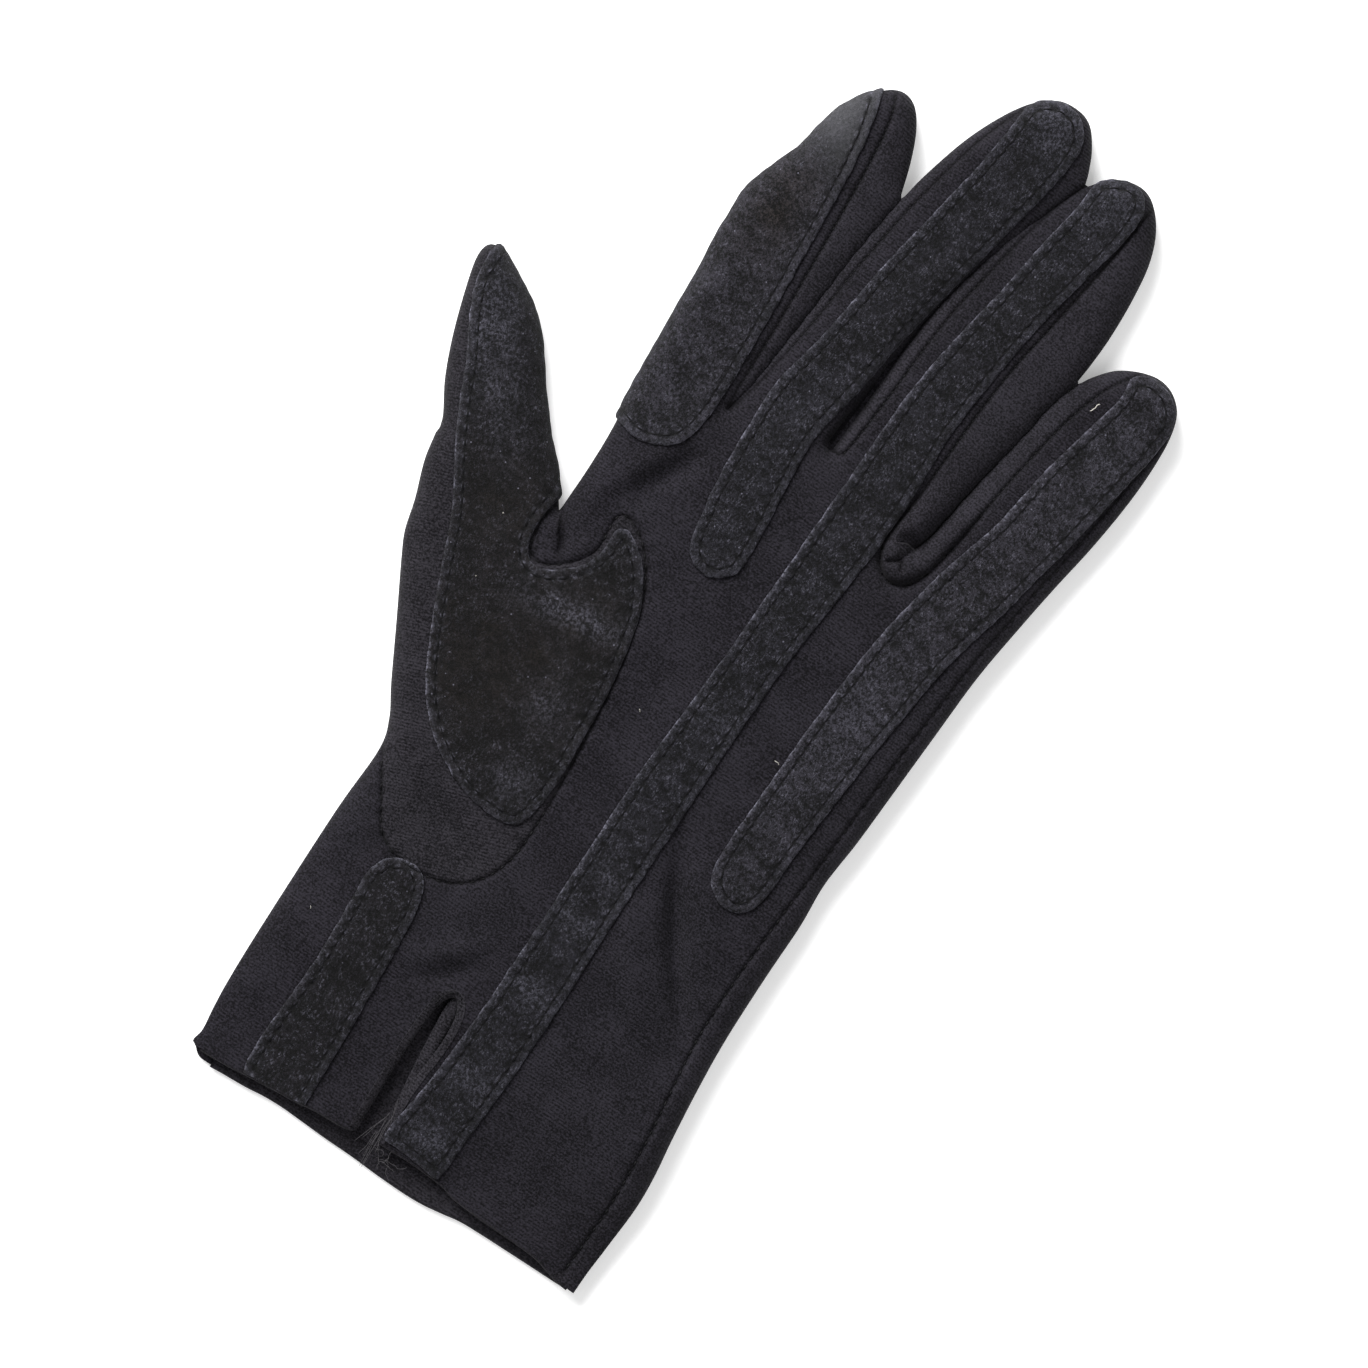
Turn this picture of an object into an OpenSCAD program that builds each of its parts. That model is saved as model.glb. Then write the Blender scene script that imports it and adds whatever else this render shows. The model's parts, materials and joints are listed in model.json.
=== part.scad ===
// Left-hand stretch glove with suede grip strips, lying palm up.
// Origin: middle of the cuff edge, on the face that the glove rests on.
// +Y runs from the cuff to the fingertips, +X to the little finger's side, +Z out of the palm.

/* [Cloth and suede] */
// Thickness of the stretch cloth
cloth = 0.8; // [0.6:0.1:1]
// Thickness of the suede patches and strips
suede = 0.9; // [0.7:0.1:1.1]
// Height of the cloth shell, lying flat
shell_h = 8; // [7.5:0.5:10]

/* [Cuff] */
// How far the back's edge reaches past the cuff line
back_reach = 2.5; // [1:0.5:4]
// How far the palm's edge stops short of the cuff line
palm_setback = 1.5; // [0.5:0.5:3]
// Depth of the turned-in hem of the palm
palm_hem_w = 9; // [6:1:14]
// Depth of the turned-in hem of the back
back_hem_w = 10; // [6:1:14]
// Width of the vent slit in the palm
vent_w = 5; // [4.5:0.5:6]
// Length of the vent slit, from the cuff line
vent_l = 33; // [25:1:38]
// Width of the vent's turned edge
vent_edge_w = 2.2; // [1.5:0.1:2.5]

/* [Reach of each finger, from the cuff line] */
// Tip of the thumb
thumb_reach = 155; // [152:1:158]
// Tip of the index finger
index_reach = 221; // [217:1:225]
// Tip of the middle finger
middle_reach = 236; // [232:1:240]
// Tip of the ring finger
ring_reach = 230.5; // [226:0.5:234]
// Tip of the little finger
little_reach = 202.5; // [199:0.5:206]

/* [Joints] */
// Heading of the four fingers, clockwise from +Y
finger_heading = 9; // [9:1:9]
// Heading of the thumb, clockwise from +Y
thumb_heading = -32.5; // [-32.5:1:-32.5]
// Clearance between neighbouring fingers
finger_gap = 0.6; // [0.5:0.1:0.8]
// Clearance across each knuckle
joint_gap = 0.4; // [0.3:0.1:0.6]

/* [Hidden] */
SEGMENTS = ["base", "tip"];
SHEETS = ["palm", "back", "sides", "suede"];
FINGERS = ["thumb", "index", "middle", "ring", "little"];
HAND = [
    "palm_panel", "back_panel", "palm_sides", "thumb_gusset", "palm_hem", "back_hem", "vent_edge",
    "wrist_strip", "long_strip_root", "middle_strip_root", "little_strip_root",
    "index_patch_root", "thumb_patch_root"
];

THUMB = 0;
INDEX = 1;
MIDDLE = 2;
RING = 3;
LITTLE = 4;
cloth_colour = [0.10, 0.10, 0.11];
suede_colour = [0.17, 0.17, 0.18];
lining_colour = [0.07, 0.07, 0.08];
smoothness = 3;        // points that replace each point of a drawn outline
far = 120;             // longer than any finger
mouth = 12;            // how far the cavity is cut out past the cuff

// Each knuckle's pivot, and how far the middle joint lies beyond it
pivots = [[-55, 118.3], [-33.2, 160], [-14.2, 165], [8.2, 165], [33, 152]];
middle_joints = [20, 27, 31, 29, 22];
function heading(f) = f == THUMB ? thumb_heading : finger_heading;

// The three straight lines that part the four fingers, each through its own point
partings = [[-21.8, 178.5], [1.1, 190.75], [22.8, 169.5]];
function parting(i, y, side) =
    [partings[i][0] + (y - partings[i][1]) * tan(finger_heading) + side * finger_gap / 2, y];

function curve(a, b, c, d, t) =
    (2 * b + (c - a) * t + (2 * a - 5 * b + 4 * c - d) * t * t + (3 * b - a - 3 * c + d) * t * t * t) / 2;
// An open line of points, with curved points put between them
function smooth(p) = let (last = len(p) - 1) concat(
    [for (i = [0:last - 1]) for (k = [0:smoothness - 1])
        curve(p[max(i - 1, 0)], p[i], p[i + 1], p[min(i + 2, last)], k / smoothness)],
    [p[last]]);
function way(a, b) = (b - a) / norm(b - a);
function right_of(v) = [v[1], -v[0]];
// A clockwise outline drawn in by d all round
function inset(p, d) = [for (i = [0:len(p) - 1])
    let (n = len(p),
         before = right_of(way(p[(i + n - 1) % n], p[i])),
         after = right_of(way(p[i], p[(i + 1) % n])))
    p[i] + d * (before + after) / (1 + before * after)];

// ---- outlines, clockwise from the cuff on the thumb's side ----
base_y = 138;          // how deep into the palm each finger's outline is carried
thumb_line = concat(
    smooth([[-43.8, 66], [-49, 76], [-55, 87], [-62, 100], [-65.2, 110], [-68, 121], [-72, 129],
        [-76, 138], [-79, 147], [-79.7, thumb_reach - 3], [-77, thumb_reach], [-72, thumb_reach - 2.3],
        [-66, 149.5], [-61, 144.5], [-54.5, 136.5], [-48, 129], [-43.5, 123.8], [-40.3, 120.2]]),
    [[-33, 112], [-29, 95], [-35, 76]]);
index_line = concat(
    smooth([[-40.6, base_y], [-41.3, 146], [-42.5, 158], [-43.3, 170], [-44.3, 184], [-44, 192],
        [-41, 199], [-39.3, 206], [-37.3, 213.5], [-34, index_reach - 2.3], [-29.5, index_reach],
        [-26, index_reach - 1.8], [-22.8, 214], [-20.4, 208], parting(0, 200, -1)]),
    [parting(0, base_y, -1)]);
middle_line = concat(
    smooth([parting(0, base_y, 1), parting(0, 200, 1), [-15.8, 213], [-12.6, 226], [-8, middle_reach - 2.3],
        [-3, middle_reach], [1.8, middle_reach - 0.6], [5, 231], parting(1, 223, -1)]),
    [parting(1, base_y, -1)]);
ring_line = concat(
    smooth([parting(1, base_y, 1), parting(1, 223, 1), [11, 228.4], [15.5, ring_reach],
        [20.5, ring_reach - 1], [24.5, 224.5], [26.8, 217], [27.6, 206], parting(2, 193, -1)]),
    [parting(2, base_y, -1)]);
little_line = concat(
    smooth([parting(2, base_y, 1), parting(2, 191, 1), [31, 198.3], [36, little_reach - 0.6],
        [40.5, little_reach], [45, 200.2], [47.4, 195.5], [47.9, 186], [47, 173], [45, 160], [43, 146],
        [42.3, base_y]]),
    [[40, base_y]]);
finger_lines = [thumb_line, index_line, middle_line, ring_line, little_line];
palm_line = concat(
    smooth([[-42.6, -back_reach], [-43.6, 10], [-44.2, 30], [-44.2, 55], [-43.8, 66], [-42, 90],
        [-40.6, 112], [-40.3, 122], [-40.6, base_y]]),
    [[-41.2, 146], parting(0, 153, 0), parting(1, 157, 0), parting(2, 145, 0), [43.2, 148]],
    smooth([[42.3, base_y], [41.5, 122], [40.7, 103], [39.8, 88], [40.1, 75], [40.2, 60], [41, 45],
        [42.4, 34], [43.6, 22], [43.6, 8], [43, -back_reach]]));
// The thumb's own cloth: an oval let into the palm, and all of the thumb beyond it
gusset_line = concat(
    [[-90, 66]],
    smooth([[-43.6, 65.6], [-41, 61], [-38, 56.5], [-34.5, 51.5], [-29, 49.4], [-22, 49.8],
        [-17, 52], [-13.5, 56], [-11.6, 62], [-11.5, 70], [-12, 80], [-13, 90], [-14.3, 100],
        [-15.7, 107], [-17.3, 113], [-20, 118.8], [-24, 123.3], [-28, 125.4], [-30.8, 123.6],
        [-30.5, 117.5], [-32, 112], [-36, 109.6], [-40, 110.6], [-42, 115], [-42.6, 121]]),
    [[-43, 130], [-90, 130]]);

wrist_strip_line = smooth([[-32.6, palm_setback], [-32.3, 10], [-32.2, 25], [-32.5, 40], [-32.3, 45.5],
    [-30, 49.2], [-26.5, 50.2], [-23, 48], [-21.2, 43.5], [-20.2, 35], [-19.6, 25], [-19.1, 14],
    [-18.9, palm_setback]]);
long_strip_line = smooth([[-3, 5], [-2.4, 12], [-1.4, 22], [-0.8, 35], [-0.9, 55], [-0.8, 80],
    [-0.3, 100], [0.5, 115], [1.1, 135], [1.5, 155], [2, 172], [3.8, 188], [6, 202], [8.5, 217],
    [9.8, 226.5], [12, 229], [15.5, 230], [18.6, 229.2], [20.2, 226], [19.8, 219], [17, 205],
    [14.6, 190.5], [13.1, 175], [13.2, 160], [12.9, 143], [11.6, 126], [10.6, 105], [10.5, 85],
    [10.8, 65], [11, 45], [10.8, 25], [10, 12], [9.6, 3.6]]);
middle_strip_line = smooth([[-9, 230], [-10.3, 218], [-12.7, 204], [-15, 191], [-17.2, 174.5],
    [-19.3, 163], [-19.5, 152], [-18.8, 141], [-17.2, 131], [-15.8, 127], [-13, 125], [-9.5, 125.2],
    [-6.7, 127.4], [-5.8, 131], [-6.8, 143], [-7.9, 156], [-6.2, 169], [-4, 184.5], [-1.2, 199.5],
    [1.8, 214], [3.6, 226], [3.2, 231], [0.8, 234.6], [-3.5, 235.6], [-7.2, 233.6], [-9, 230]]);
little_strip_line = smooth([[36.5, 200], [34.2, 192], [32, 180.5], [29.6, 169], [26.6, 155], [23.8, 142],
    [22, 129], [20.9, 112], [20.4, 95], [20.3, 82], [22, 77], [26, 75.2], [29.6, 76.6], [31.4, 81],
    [32.2, 93], [33.3, 107], [34.6, 124], [36.6, 137], [39.6, 151], [42.6, 166], [45, 180], [46.9, 193],
    [45.6, 198.6], [41, 201.6], [36.5, 200]]);
index_patch_line = concat(
    [[-50, 200], [-50, 225], [-32.5, 225]],
    smooth([[-32.4, 218.4], [-31, 212], [-29.8, 202], [-28.8, 189], [-27.8, 175], [-26.8, 160],
        [-26.8, 149], [-28.6, 143], [-32, 140.2], [-36.5, 139.2], [-40.8, 140.4]]),
    [[-50, 141]]);
thumb_patch_line = concat(
    smooth([[-12.7, 78], [-13.2, 70.5], [-15, 66.6], [-20, 65.6], [-27, 66.8], [-34, 70.2], [-40, 75.6],
        [-45, 82], [-49.5, 91.5], [-54, 102], [-58.5, 112], [-64.5, 122], [-70, 133.5], [-75, 143.5],
        [-77.4, 152]]),
    [[-76, 160], [-58, 160], [-41.5, 126], [-41, 120.5]],
    smooth([[-42.4, 116], [-40.4, 110.6], [-36, 109.4], [-31.8, 111.8], [-30.3, 118], [-30, 123],
        [-27.6, 124.4], [-23.6, 122], [-20, 117.6], [-17.2, 112], [-15, 102], [-13.4, 90], [-12.7, 78]]));
finger_suede = [thumb_patch_line, index_patch_line, middle_strip_line, long_strip_line, little_strip_line];

// ---- areas, looking down on the palm ----
module at_knuckle(f) translate(pivots[f]) rotate(-heading(f)) children();
// The band across finger f from a to b, both measured beyond its knuckle
module across(f, a, b) at_knuckle(f) translate([-far / 2, a]) square([far, b - a]);
module vent_area(grow = 0)
    translate([-6 - vent_w / 2 - grow, -mouth]) {
        square([vent_w + 2 * grow, vent_l + mouth - vent_w / 2]);
        translate([vent_w / 2 + grow, vent_l + mouth - vent_w / 2]) circle(r = vent_w / 2 + grow, $fn = 32);
    }
module finger_segment(f, k)
    across(f, k == 0 ? joint_gap / 2 : middle_joints[f] + joint_gap / 2,
        k == 0 ? middle_joints[f] - joint_gap / 2 : far);
module hand_area() {
    polygon(palm_line);
    for (f = [THUMB:LITTLE]) intersection() {
        polygon(finger_lines[f]);
        across(f, -far, -joint_gap / 2);
    }
}
module hollow_area() {
    for (line = concat([palm_line], finger_lines)) polygon(inset(line, cloth));
    translate([cloth - 42.6, -mouth]) square([85.6 - 2 * cloth, mouth]);
}
module above_cuff(y) translate([-far, y]) square([2 * far, 2 * far]);
module below_cuff(y) translate([-far, -mouth]) square([2 * far, y + mouth]);

// ---- sheets and walls ----
module sheet(z, t) translate([0, 0, z]) linear_extrude(t) children();

module finger_palm(f, k) color(cloth_colour) sheet(shell_h - cloth, cloth) intersection() {
    polygon(finger_lines[f]);
    finger_segment(f, k);
}
module finger_back(f, k) color(cloth_colour) sheet(0, cloth) intersection() {
    polygon(finger_lines[f]);
    finger_segment(f, k);
}
// The fourchettes, and the folded outer edge of the thumb, index and little fingers
module finger_sides(f, k) color(cloth_colour) sheet(cloth, shell_h - 2 * cloth) difference() {
    intersection() {
        polygon(finger_lines[f]);
        finger_segment(f, k);
    }
    polygon(inset(finger_lines[f], cloth));
    at_knuckle(f) translate([-joint_gap / 2, middle_joints[f]]) square([joint_gap, far]);
}
module finger_suede(f, k) color(suede_colour) sheet(shell_h, suede) intersection() {
    polygon(finger_lines[f]);
    polygon(finger_suede[f]);
    finger_segment(f, k);
}
module suede_root(f) color(suede_colour) sheet(shell_h, suede) intersection() {
    hand_area();
    polygon(finger_suede[f]);
    across(f, -2 * far, -joint_gap / 2);
}

module palm_panel() color(cloth_colour) sheet(shell_h - cloth, cloth) difference() {
    intersection() {
        hand_area();
        above_cuff(palm_setback);
    }
    thumb_gusset_area();
    vent_area();
}
module thumb_gusset_area() intersection() {
    hand_area();
    polygon(gusset_line);
}
module thumb_gusset() color(cloth_colour) sheet(shell_h - cloth, cloth) thumb_gusset_area();
module back_panel() color(cloth_colour) sheet(0, cloth) hand_area();
module palm_sides() color(cloth_colour) sheet(cloth, shell_h - 2 * cloth) difference() {
    hand_area();
    hollow_area();
}
module palm_hem() color(lining_colour) sheet(shell_h - 2 * cloth, cloth) difference() {
    intersection() {
        polygon(inset(palm_line, cloth));
        above_cuff(palm_setback);
        below_cuff(palm_setback + palm_hem_w);
    }
    vent_area(vent_edge_w);
}
module back_hem() color(lining_colour) sheet(cloth, cloth) intersection() {
    polygon(inset(palm_line, cloth));
    below_cuff(back_hem_w - back_reach);
}
module vent_edge() color(lining_colour) sheet(shell_h - 2 * cloth, cloth) intersection() {
    difference() {
        vent_area(vent_edge_w);
        vent_area();
    }
    above_cuff(palm_setback);
}
module wrist_strip() color(suede_colour) sheet(shell_h, suede) polygon(wrist_strip_line);

module hand_piece(name) {
    if (name == "palm_panel") palm_panel();
    if (name == "back_panel") back_panel();
    if (name == "palm_sides") palm_sides();
    if (name == "thumb_gusset") thumb_gusset();
    if (name == "palm_hem") palm_hem();
    if (name == "back_hem") back_hem();
    if (name == "vent_edge") vent_edge();
    if (name == "wrist_strip") wrist_strip();
    if (name == "long_strip_root") suede_root(RING);
    if (name == "middle_strip_root") suede_root(MIDDLE);
    if (name == "little_strip_root") suede_root(LITTLE);
    if (name == "index_patch_root") suede_root(INDEX);
    if (name == "thumb_patch_root") suede_root(THUMB);
}
module finger_piece(f, k, s) {
    if (s == "palm") finger_palm(f, k);
    if (s == "back") finger_back(f, k);
    if (s == "sides") finger_sides(f, k);
    if (s == "suede") finger_suede(f, k);
}

for (name = HAND) hand_piece(name);
for (f = [THUMB:LITTLE]) for (k = [0, 1]) for (s = SHEETS)
    finger_piece(f, k, s);
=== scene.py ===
"""The looks of a left-hand stretch glove with suede grip strips, lying palm up on a pale floor.

Lines are drawn in millimetres in the frame's XY plane. The cloth is one shell: a height over the palm side,
a height under the back, and folded edges between them. The shell is then cut into its panels and at the
middle of each stretch of finger, so that every piece crosses at most one joint. The suede is cut from the
same shell and stands on it.
"""

import json
import math

import bmesh
import bpy
import numpy as np
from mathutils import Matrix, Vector
from mathutils.geometry import delaunay_2d_cdt
from mathutils.kdtree import KDTree


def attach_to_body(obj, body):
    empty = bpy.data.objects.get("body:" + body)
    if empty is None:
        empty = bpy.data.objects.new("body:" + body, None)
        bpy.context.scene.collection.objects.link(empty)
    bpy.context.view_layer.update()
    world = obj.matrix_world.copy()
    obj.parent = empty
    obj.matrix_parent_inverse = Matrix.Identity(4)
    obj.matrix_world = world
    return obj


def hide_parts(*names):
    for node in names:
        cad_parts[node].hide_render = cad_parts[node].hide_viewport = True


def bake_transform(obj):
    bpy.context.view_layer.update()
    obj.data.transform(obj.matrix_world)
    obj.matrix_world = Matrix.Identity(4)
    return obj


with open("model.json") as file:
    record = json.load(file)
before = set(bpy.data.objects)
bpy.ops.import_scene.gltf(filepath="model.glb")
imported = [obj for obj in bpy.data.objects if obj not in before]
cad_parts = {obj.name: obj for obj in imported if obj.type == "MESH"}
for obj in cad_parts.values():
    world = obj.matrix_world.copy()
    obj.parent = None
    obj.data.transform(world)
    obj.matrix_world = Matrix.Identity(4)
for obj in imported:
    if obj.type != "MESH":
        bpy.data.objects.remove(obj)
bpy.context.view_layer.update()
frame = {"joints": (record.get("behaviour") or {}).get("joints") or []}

MM = 0.001
FINGERS = ("thumb", "index", "middle", "ring", "little")
RANDOM = np.random.default_rng(7)

# ---------------------------------------------------------------- sizes, in mm
GRID = 0.75            # spacing of the palm side's mesh
BACK_GRID = 1.7        # spacing of the back's mesh
CLOTH = 0.7            # thickness of the knit
SUEDE = 0.7            # thickness of the suede
SLIT = 0.04            # half the gap between two fingers that touch, while the shell is cut up
HAIR = 0.0008          # what is left of it in the end
FOLD_Z = 3.1           # height of the folded edges
FULLER = 0.7           # how much higher they are on the side away from the light
FLOOR_Z = 0.12         # height of the back's underside
LOWEST = 0.05          # no piece reaches below this
FINGER_TOP = 7.1       # height of a finger's crown
PALM_TOP = 7.4         # height of the palm
CUFF_FLAT = 0.62       # how high it is at the cuff, as a part of that
DOME = 5.2             # how far in from a folded edge the crown is reached
BACK_ROUND = 2.6       # how far in from a folded edge the back touches the floor
STITCH_IN = 1.75       # from a suede edge to its row of stitches
STITCH_PITCH = 2.7
SEAM_PITCH = 2.1       # of the stitches along the outer seam and round the thumb
SEAM_DEEP = 0.55       # depth of the groove along every seam
SEAM_WIDE = 0.4        # about half its width
LOOP_HIGH = 1.5        # how high the gathered loop rises out of its groove
LOOP_ROUND = 2.8       # how far in from its seam it is as high as that
LOOP_END_Y = 168       # it lies flat beyond this
TROUGH_WIDE = 6        # half width of the hollow between the middle and ring fingers
TROUGH_Y = (156.6, 196)
TROUGH_FLAT = (1.5, 0.15)    # width of its flat bottom, on the middle and on the ring finger's side
TROUGH_STEEP = 3.0     # how much sooner than by DOME the two crowns are reached beside it
RIM = 0.45             # width of the rounding along a suede edge
DENT_DEEP = 0.15       # how far a row of stitches presses the suede down
HINGE_REACH = 6.0      # how far before a finger's first hinge its cloth is cut from the hand's
TO_LIGHT = np.array([-0.87, 0.49])    # the way to the main light, seen from above
WRAP = 1.1             # how far the index and thumb patches reach round onto the back
CROTCH_Y = 140         # the fingers begin beyond this
THUMB_END_Y = 158      # the thumb ends before this


# ---------------------------------------------------------------- lines
def run_of(line):
    """How far along the line each of its points is."""
    return np.concatenate([[0], np.cumsum(np.linalg.norm(np.diff(line, axis=0), axis=1))])


def places_at(line, run, at):
    """The places at these distances along the line."""
    return np.column_stack([np.interp(at, run, line[:, k]) for k in (0, 1)])


def resample(line, step):
    """The line with its points evenly spaced, close to step apart."""
    line = np.asarray(line, float)
    run = run_of(line)
    count = max(2, int(round(run[-1] / step)) + 1)
    return places_at(line, run, np.linspace(0, run[-1], count))


def curve(points, step=GRID, closed=False):
    """A smooth line through the points."""
    p = np.asarray(points, float)
    if closed:
        p = np.vstack([p[-1], p, p[0], p[1]])
    else:
        p = np.vstack([2 * p[0] - p[1], p, 2 * p[-1] - p[-2]])
    out = []
    for a, b, c, d in zip(p[:-3], p[1:-2], p[2:-1], p[3:]):
        for t in np.linspace(0, 1, 12, endpoint=False):
            out.append(0.5 * (2 * b + (c - a) * t + (2 * a - 5 * b + 4 * c - d) * t**2
                              + (3 * b - a - 3 * c + d) * t**3))
    out.append(p[-2])
    return resample(out, step)


def normals_of(line):
    """The direction to the left of the line at each of its points."""
    way = np.gradient(line, axis=0)
    way /= np.linalg.norm(way, axis=1)[:, None] + 1e-9
    return np.column_stack([-way[:, 1], way[:, 0]])


def smoothed(line, times):
    """The line with each inner point averaged with its neighbours, again and again."""
    line = line.copy()
    for _ in range(times):
        line[1:-1] = (line[:-2] + 2 * line[1:-1] + line[2:]) / 4
    return line


def tree_of(points):
    """A search tree of flat points."""
    tree = KDTree(len(points))
    for i, (x, y) in enumerate(points):
        tree.insert((x, y, 0), i)
    tree.balance()
    return tree


class Nearest:
    """Finds how far points are from a line, and how far along it the nearest place is."""

    def __init__(self, line):
        self.line = resample(line, 0.35)
        self.run = run_of(self.line)
        self.tree = tree_of(self.line)

    def nearest_points(self, points):
        return np.array([self.tree.find((x, y, 0))[1] for x, y in points])

    def __call__(self, points):
        points = np.asarray(points, float)
        near = self.nearest_points(points)
        best = np.full(len(points), np.inf)
        along = np.zeros(len(points))
        for step in (-1, 0):
            i = np.clip(near + step, 0, len(self.line) - 2)
            a = self.line[i]
            way = self.line[i + 1] - a
            t = np.clip(((points - a) * way).sum(1) / (way**2).sum(1), 0, 1)
            gap = np.linalg.norm(points - a - t[:, None] * way, axis=1)
            closer = gap < best
            best[closer] = gap[closer]
            along[closer] = (self.run[i] + t * np.linalg.norm(way, axis=1))[closer]
        return best, along

    def left_of(self, points):
        """Which points lie to the left of the line."""
        i = np.clip(self.nearest_points(points), 0, len(self.line) - 2)
        way = self.line[i + 1] - self.line[i]
        off = points - self.line[i]
        return way[:, 0] * off[:, 1] - way[:, 1] * off[:, 0] > -1e-6


def inside(points, polygon):
    """Which points lie inside the polygon."""
    x, y = np.asarray(points, float).T
    found = np.zeros(len(x), bool)
    for (x0, y0), (x1, y1) in zip(polygon, np.roll(polygon, -1, axis=0)):
        if y0 != y1:
            crossing = (y0 > y) != (y1 > y)
            found ^= crossing & (x < (x1 - x0) * (y - y0) / (y1 - y0) + x0)
    return found


def ease(t):
    """A smooth step from 0 to 1."""
    t = np.clip(t, 0, 1)
    return t * t * (3 - 2 * t)


def hump(gap, wide, power=2):
    """1 where gap is 0, fading to nothing at about twice wide."""
    return np.exp(-((gap / wide) ** power))


def round_up(t):
    """A quarter circle from 0 to 1."""
    return np.sqrt(1 - (1 - np.clip(t, 0, 1)) ** 2)


def ripple(points, size, seed):
    """A smooth unevenness from -1 to 1, with bumps about size across."""
    made = np.random.default_rng(seed)
    total = np.zeros(len(points))
    for _ in range(7):
        angle = made.uniform(0, math.tau)
        wave = math.tau / (size * made.uniform(0.75, 1.5) * 2)
        way = wave * np.array([math.cos(angle), math.sin(angle)])
        total += np.sin(points @ way + made.uniform(0, math.tau))
    return total / 4


# ---------------------------------------------------------------- the drawing
# The lines where neighbouring fingers touch, from the crotch up
PARTINGS = [
    [
        (-24.5, 153), (-23.2, 160), (-22.3, 170), (-21.5, 180), (-20.8, 190), (-19.2, 204)
    ],
    [
        (-4, 157.8), (-3.8, 162), (-3.5, 168), (-3.3, 175), (-3.1, 182), (-2.4, 190), (-0.9, 198),
        (0.4, 203), (2.5, 210), (4.8, 216), (7, 222), (8.3, 224.8)
    ],
    [
        (19.2, 150.9), (20.1, 154), (20.8, 158), (21.8, 165), (23, 172), (24.5, 180), (25.5, 187),
        (27.5, 193.4)
    ],
]
THUMB_SIDE = [
    (-42.9, -0.6), (-42.9, 0.2), (-42.5, 2.2), (-43.1, 7), (-43.6, 13), (-44, 25), (-44.3, 50), (-43.9, 64),
    (-45.5, 70), (-49, 76), (-55, 87), (-60, 96), (-62.5, 101), (-64.2, 107), (-66.7, 114), (-67.8, 119.5)
]
THUMB_TIP = [
    (-67.7, 120.8), (-68.7, 123.4), (-72, 129), (-75.2, 136.5), (-78, 145), (-79.5, 151), (-79.1, 154.2),
    (-76.8, 155.1), (-74, 153.8), (-70, 151.6), (-66, 149.4), (-62, 145.8), (-58, 140.8), (-54.3, 136),
    (-50, 131), (-46, 127), (-43, 123.6), (-40.45, 120.1)
]
INDEX_TIP = [
    (-40.35, 121), (-40.3, 130), (-40.6, 138), (-41.5, 146), (-42.5, 160), (-43.1, 170), (-44.2, 183),
    (-44.2, 190), (-42, 197), (-40.3, 201.5), (-39.2, 207), (-37.5, 213), (-34, 218.4), (-30.5, 220.9),
    (-27, 220.2), (-24, 216.5), (-21.5, 210.8), (-19.6, 204.6)
]
MIDDLE_TIP = [
    (-18.9, 204.8), (-18, 210), (-15.6, 219), (-12.5, 226.5), (-9, 232.2), (-5, 235.6), (-1, 236.3),
    (2.5, 235.2), (5.5, 231.5), (7.3, 227.6), (8.05, 225.2)
]
RING_TIP = [
    (8.7, 225.2), (10.3, 227.3), (13, 229.7), (17, 230.7), (20.5, 229.4), (24, 225.3), (26.3, 219.5),
    (27.4, 212), (27.8, 204), (27.6, 198), (27.2, 193.8)
]
LITTLE_SIDE = [
    (27.9, 193.9), (29.2, 196.1), (32, 199.4), (36, 201.7), (40, 202.6), (43.5, 201.6), (46.2, 198.8),
    (47.6, 194), (48, 187), (47.7, 179), (46.6, 169), (45, 159), (43.6, 149), (42.2, 137), (41.6, 124),
    (41, 110), (40.5, 99), (39.7, 89), (40.2, 80), (40.1, 68), (40.3, 55), (41, 45), (42.2, 34), (43.3, 26),
    (43.7, 19), (43.2, 10), (42.8, 4), (42.7, -0.7)
]
PALM_HEM_RIGHT = [
    (42.7, -0.7), (39, -0.3), (37, 0.2), (35.5, 0.6), (33, 1.2), (28, 1.5), (20, 1.6), (14, 2), (12, 2.6),
    (9.6, 2.9), (4, 3.2), (-3.4, 3)
]
VENT = [
    (-3.4, 3), (-4, 14), (-3.4, 24), (-3.7, 29.5), (-4.8, 32.8), (-6.3, 33.8), (-7.8, 32.6), (-8.7, 29),
    (-9, 20), (-8.6, 6), (-8.3, 2.8)
]
PALM_HEM_LEFT = [
    (-8.3, 2.8), (-10, 1.9), (-17, 1.4), (-20, 0.9), (-25, 0.5), (-31, -0.1), (-35, -0.6), (-41.4, -0.9),
    (-42.9, -0.6)
]
BACK_HEM = [
    (42.7, -0.7), (38, -0.75), (30, -0.8), (22, -0.9), (17.5, -1.1), (14, -1.7), (10, -2.3), (6, -2.5),
    (0, -2.4), (-6, -2.1), (-12, -2), (-18, -1.75), (-22, -1.6), (-26, -1.75), (-30, -2.2), (-35, -2.5),
    (-38.5, -2.75), (-40.4, -2.6), (-41.8, -1.6), (-42.9, -0.6)
]

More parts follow.
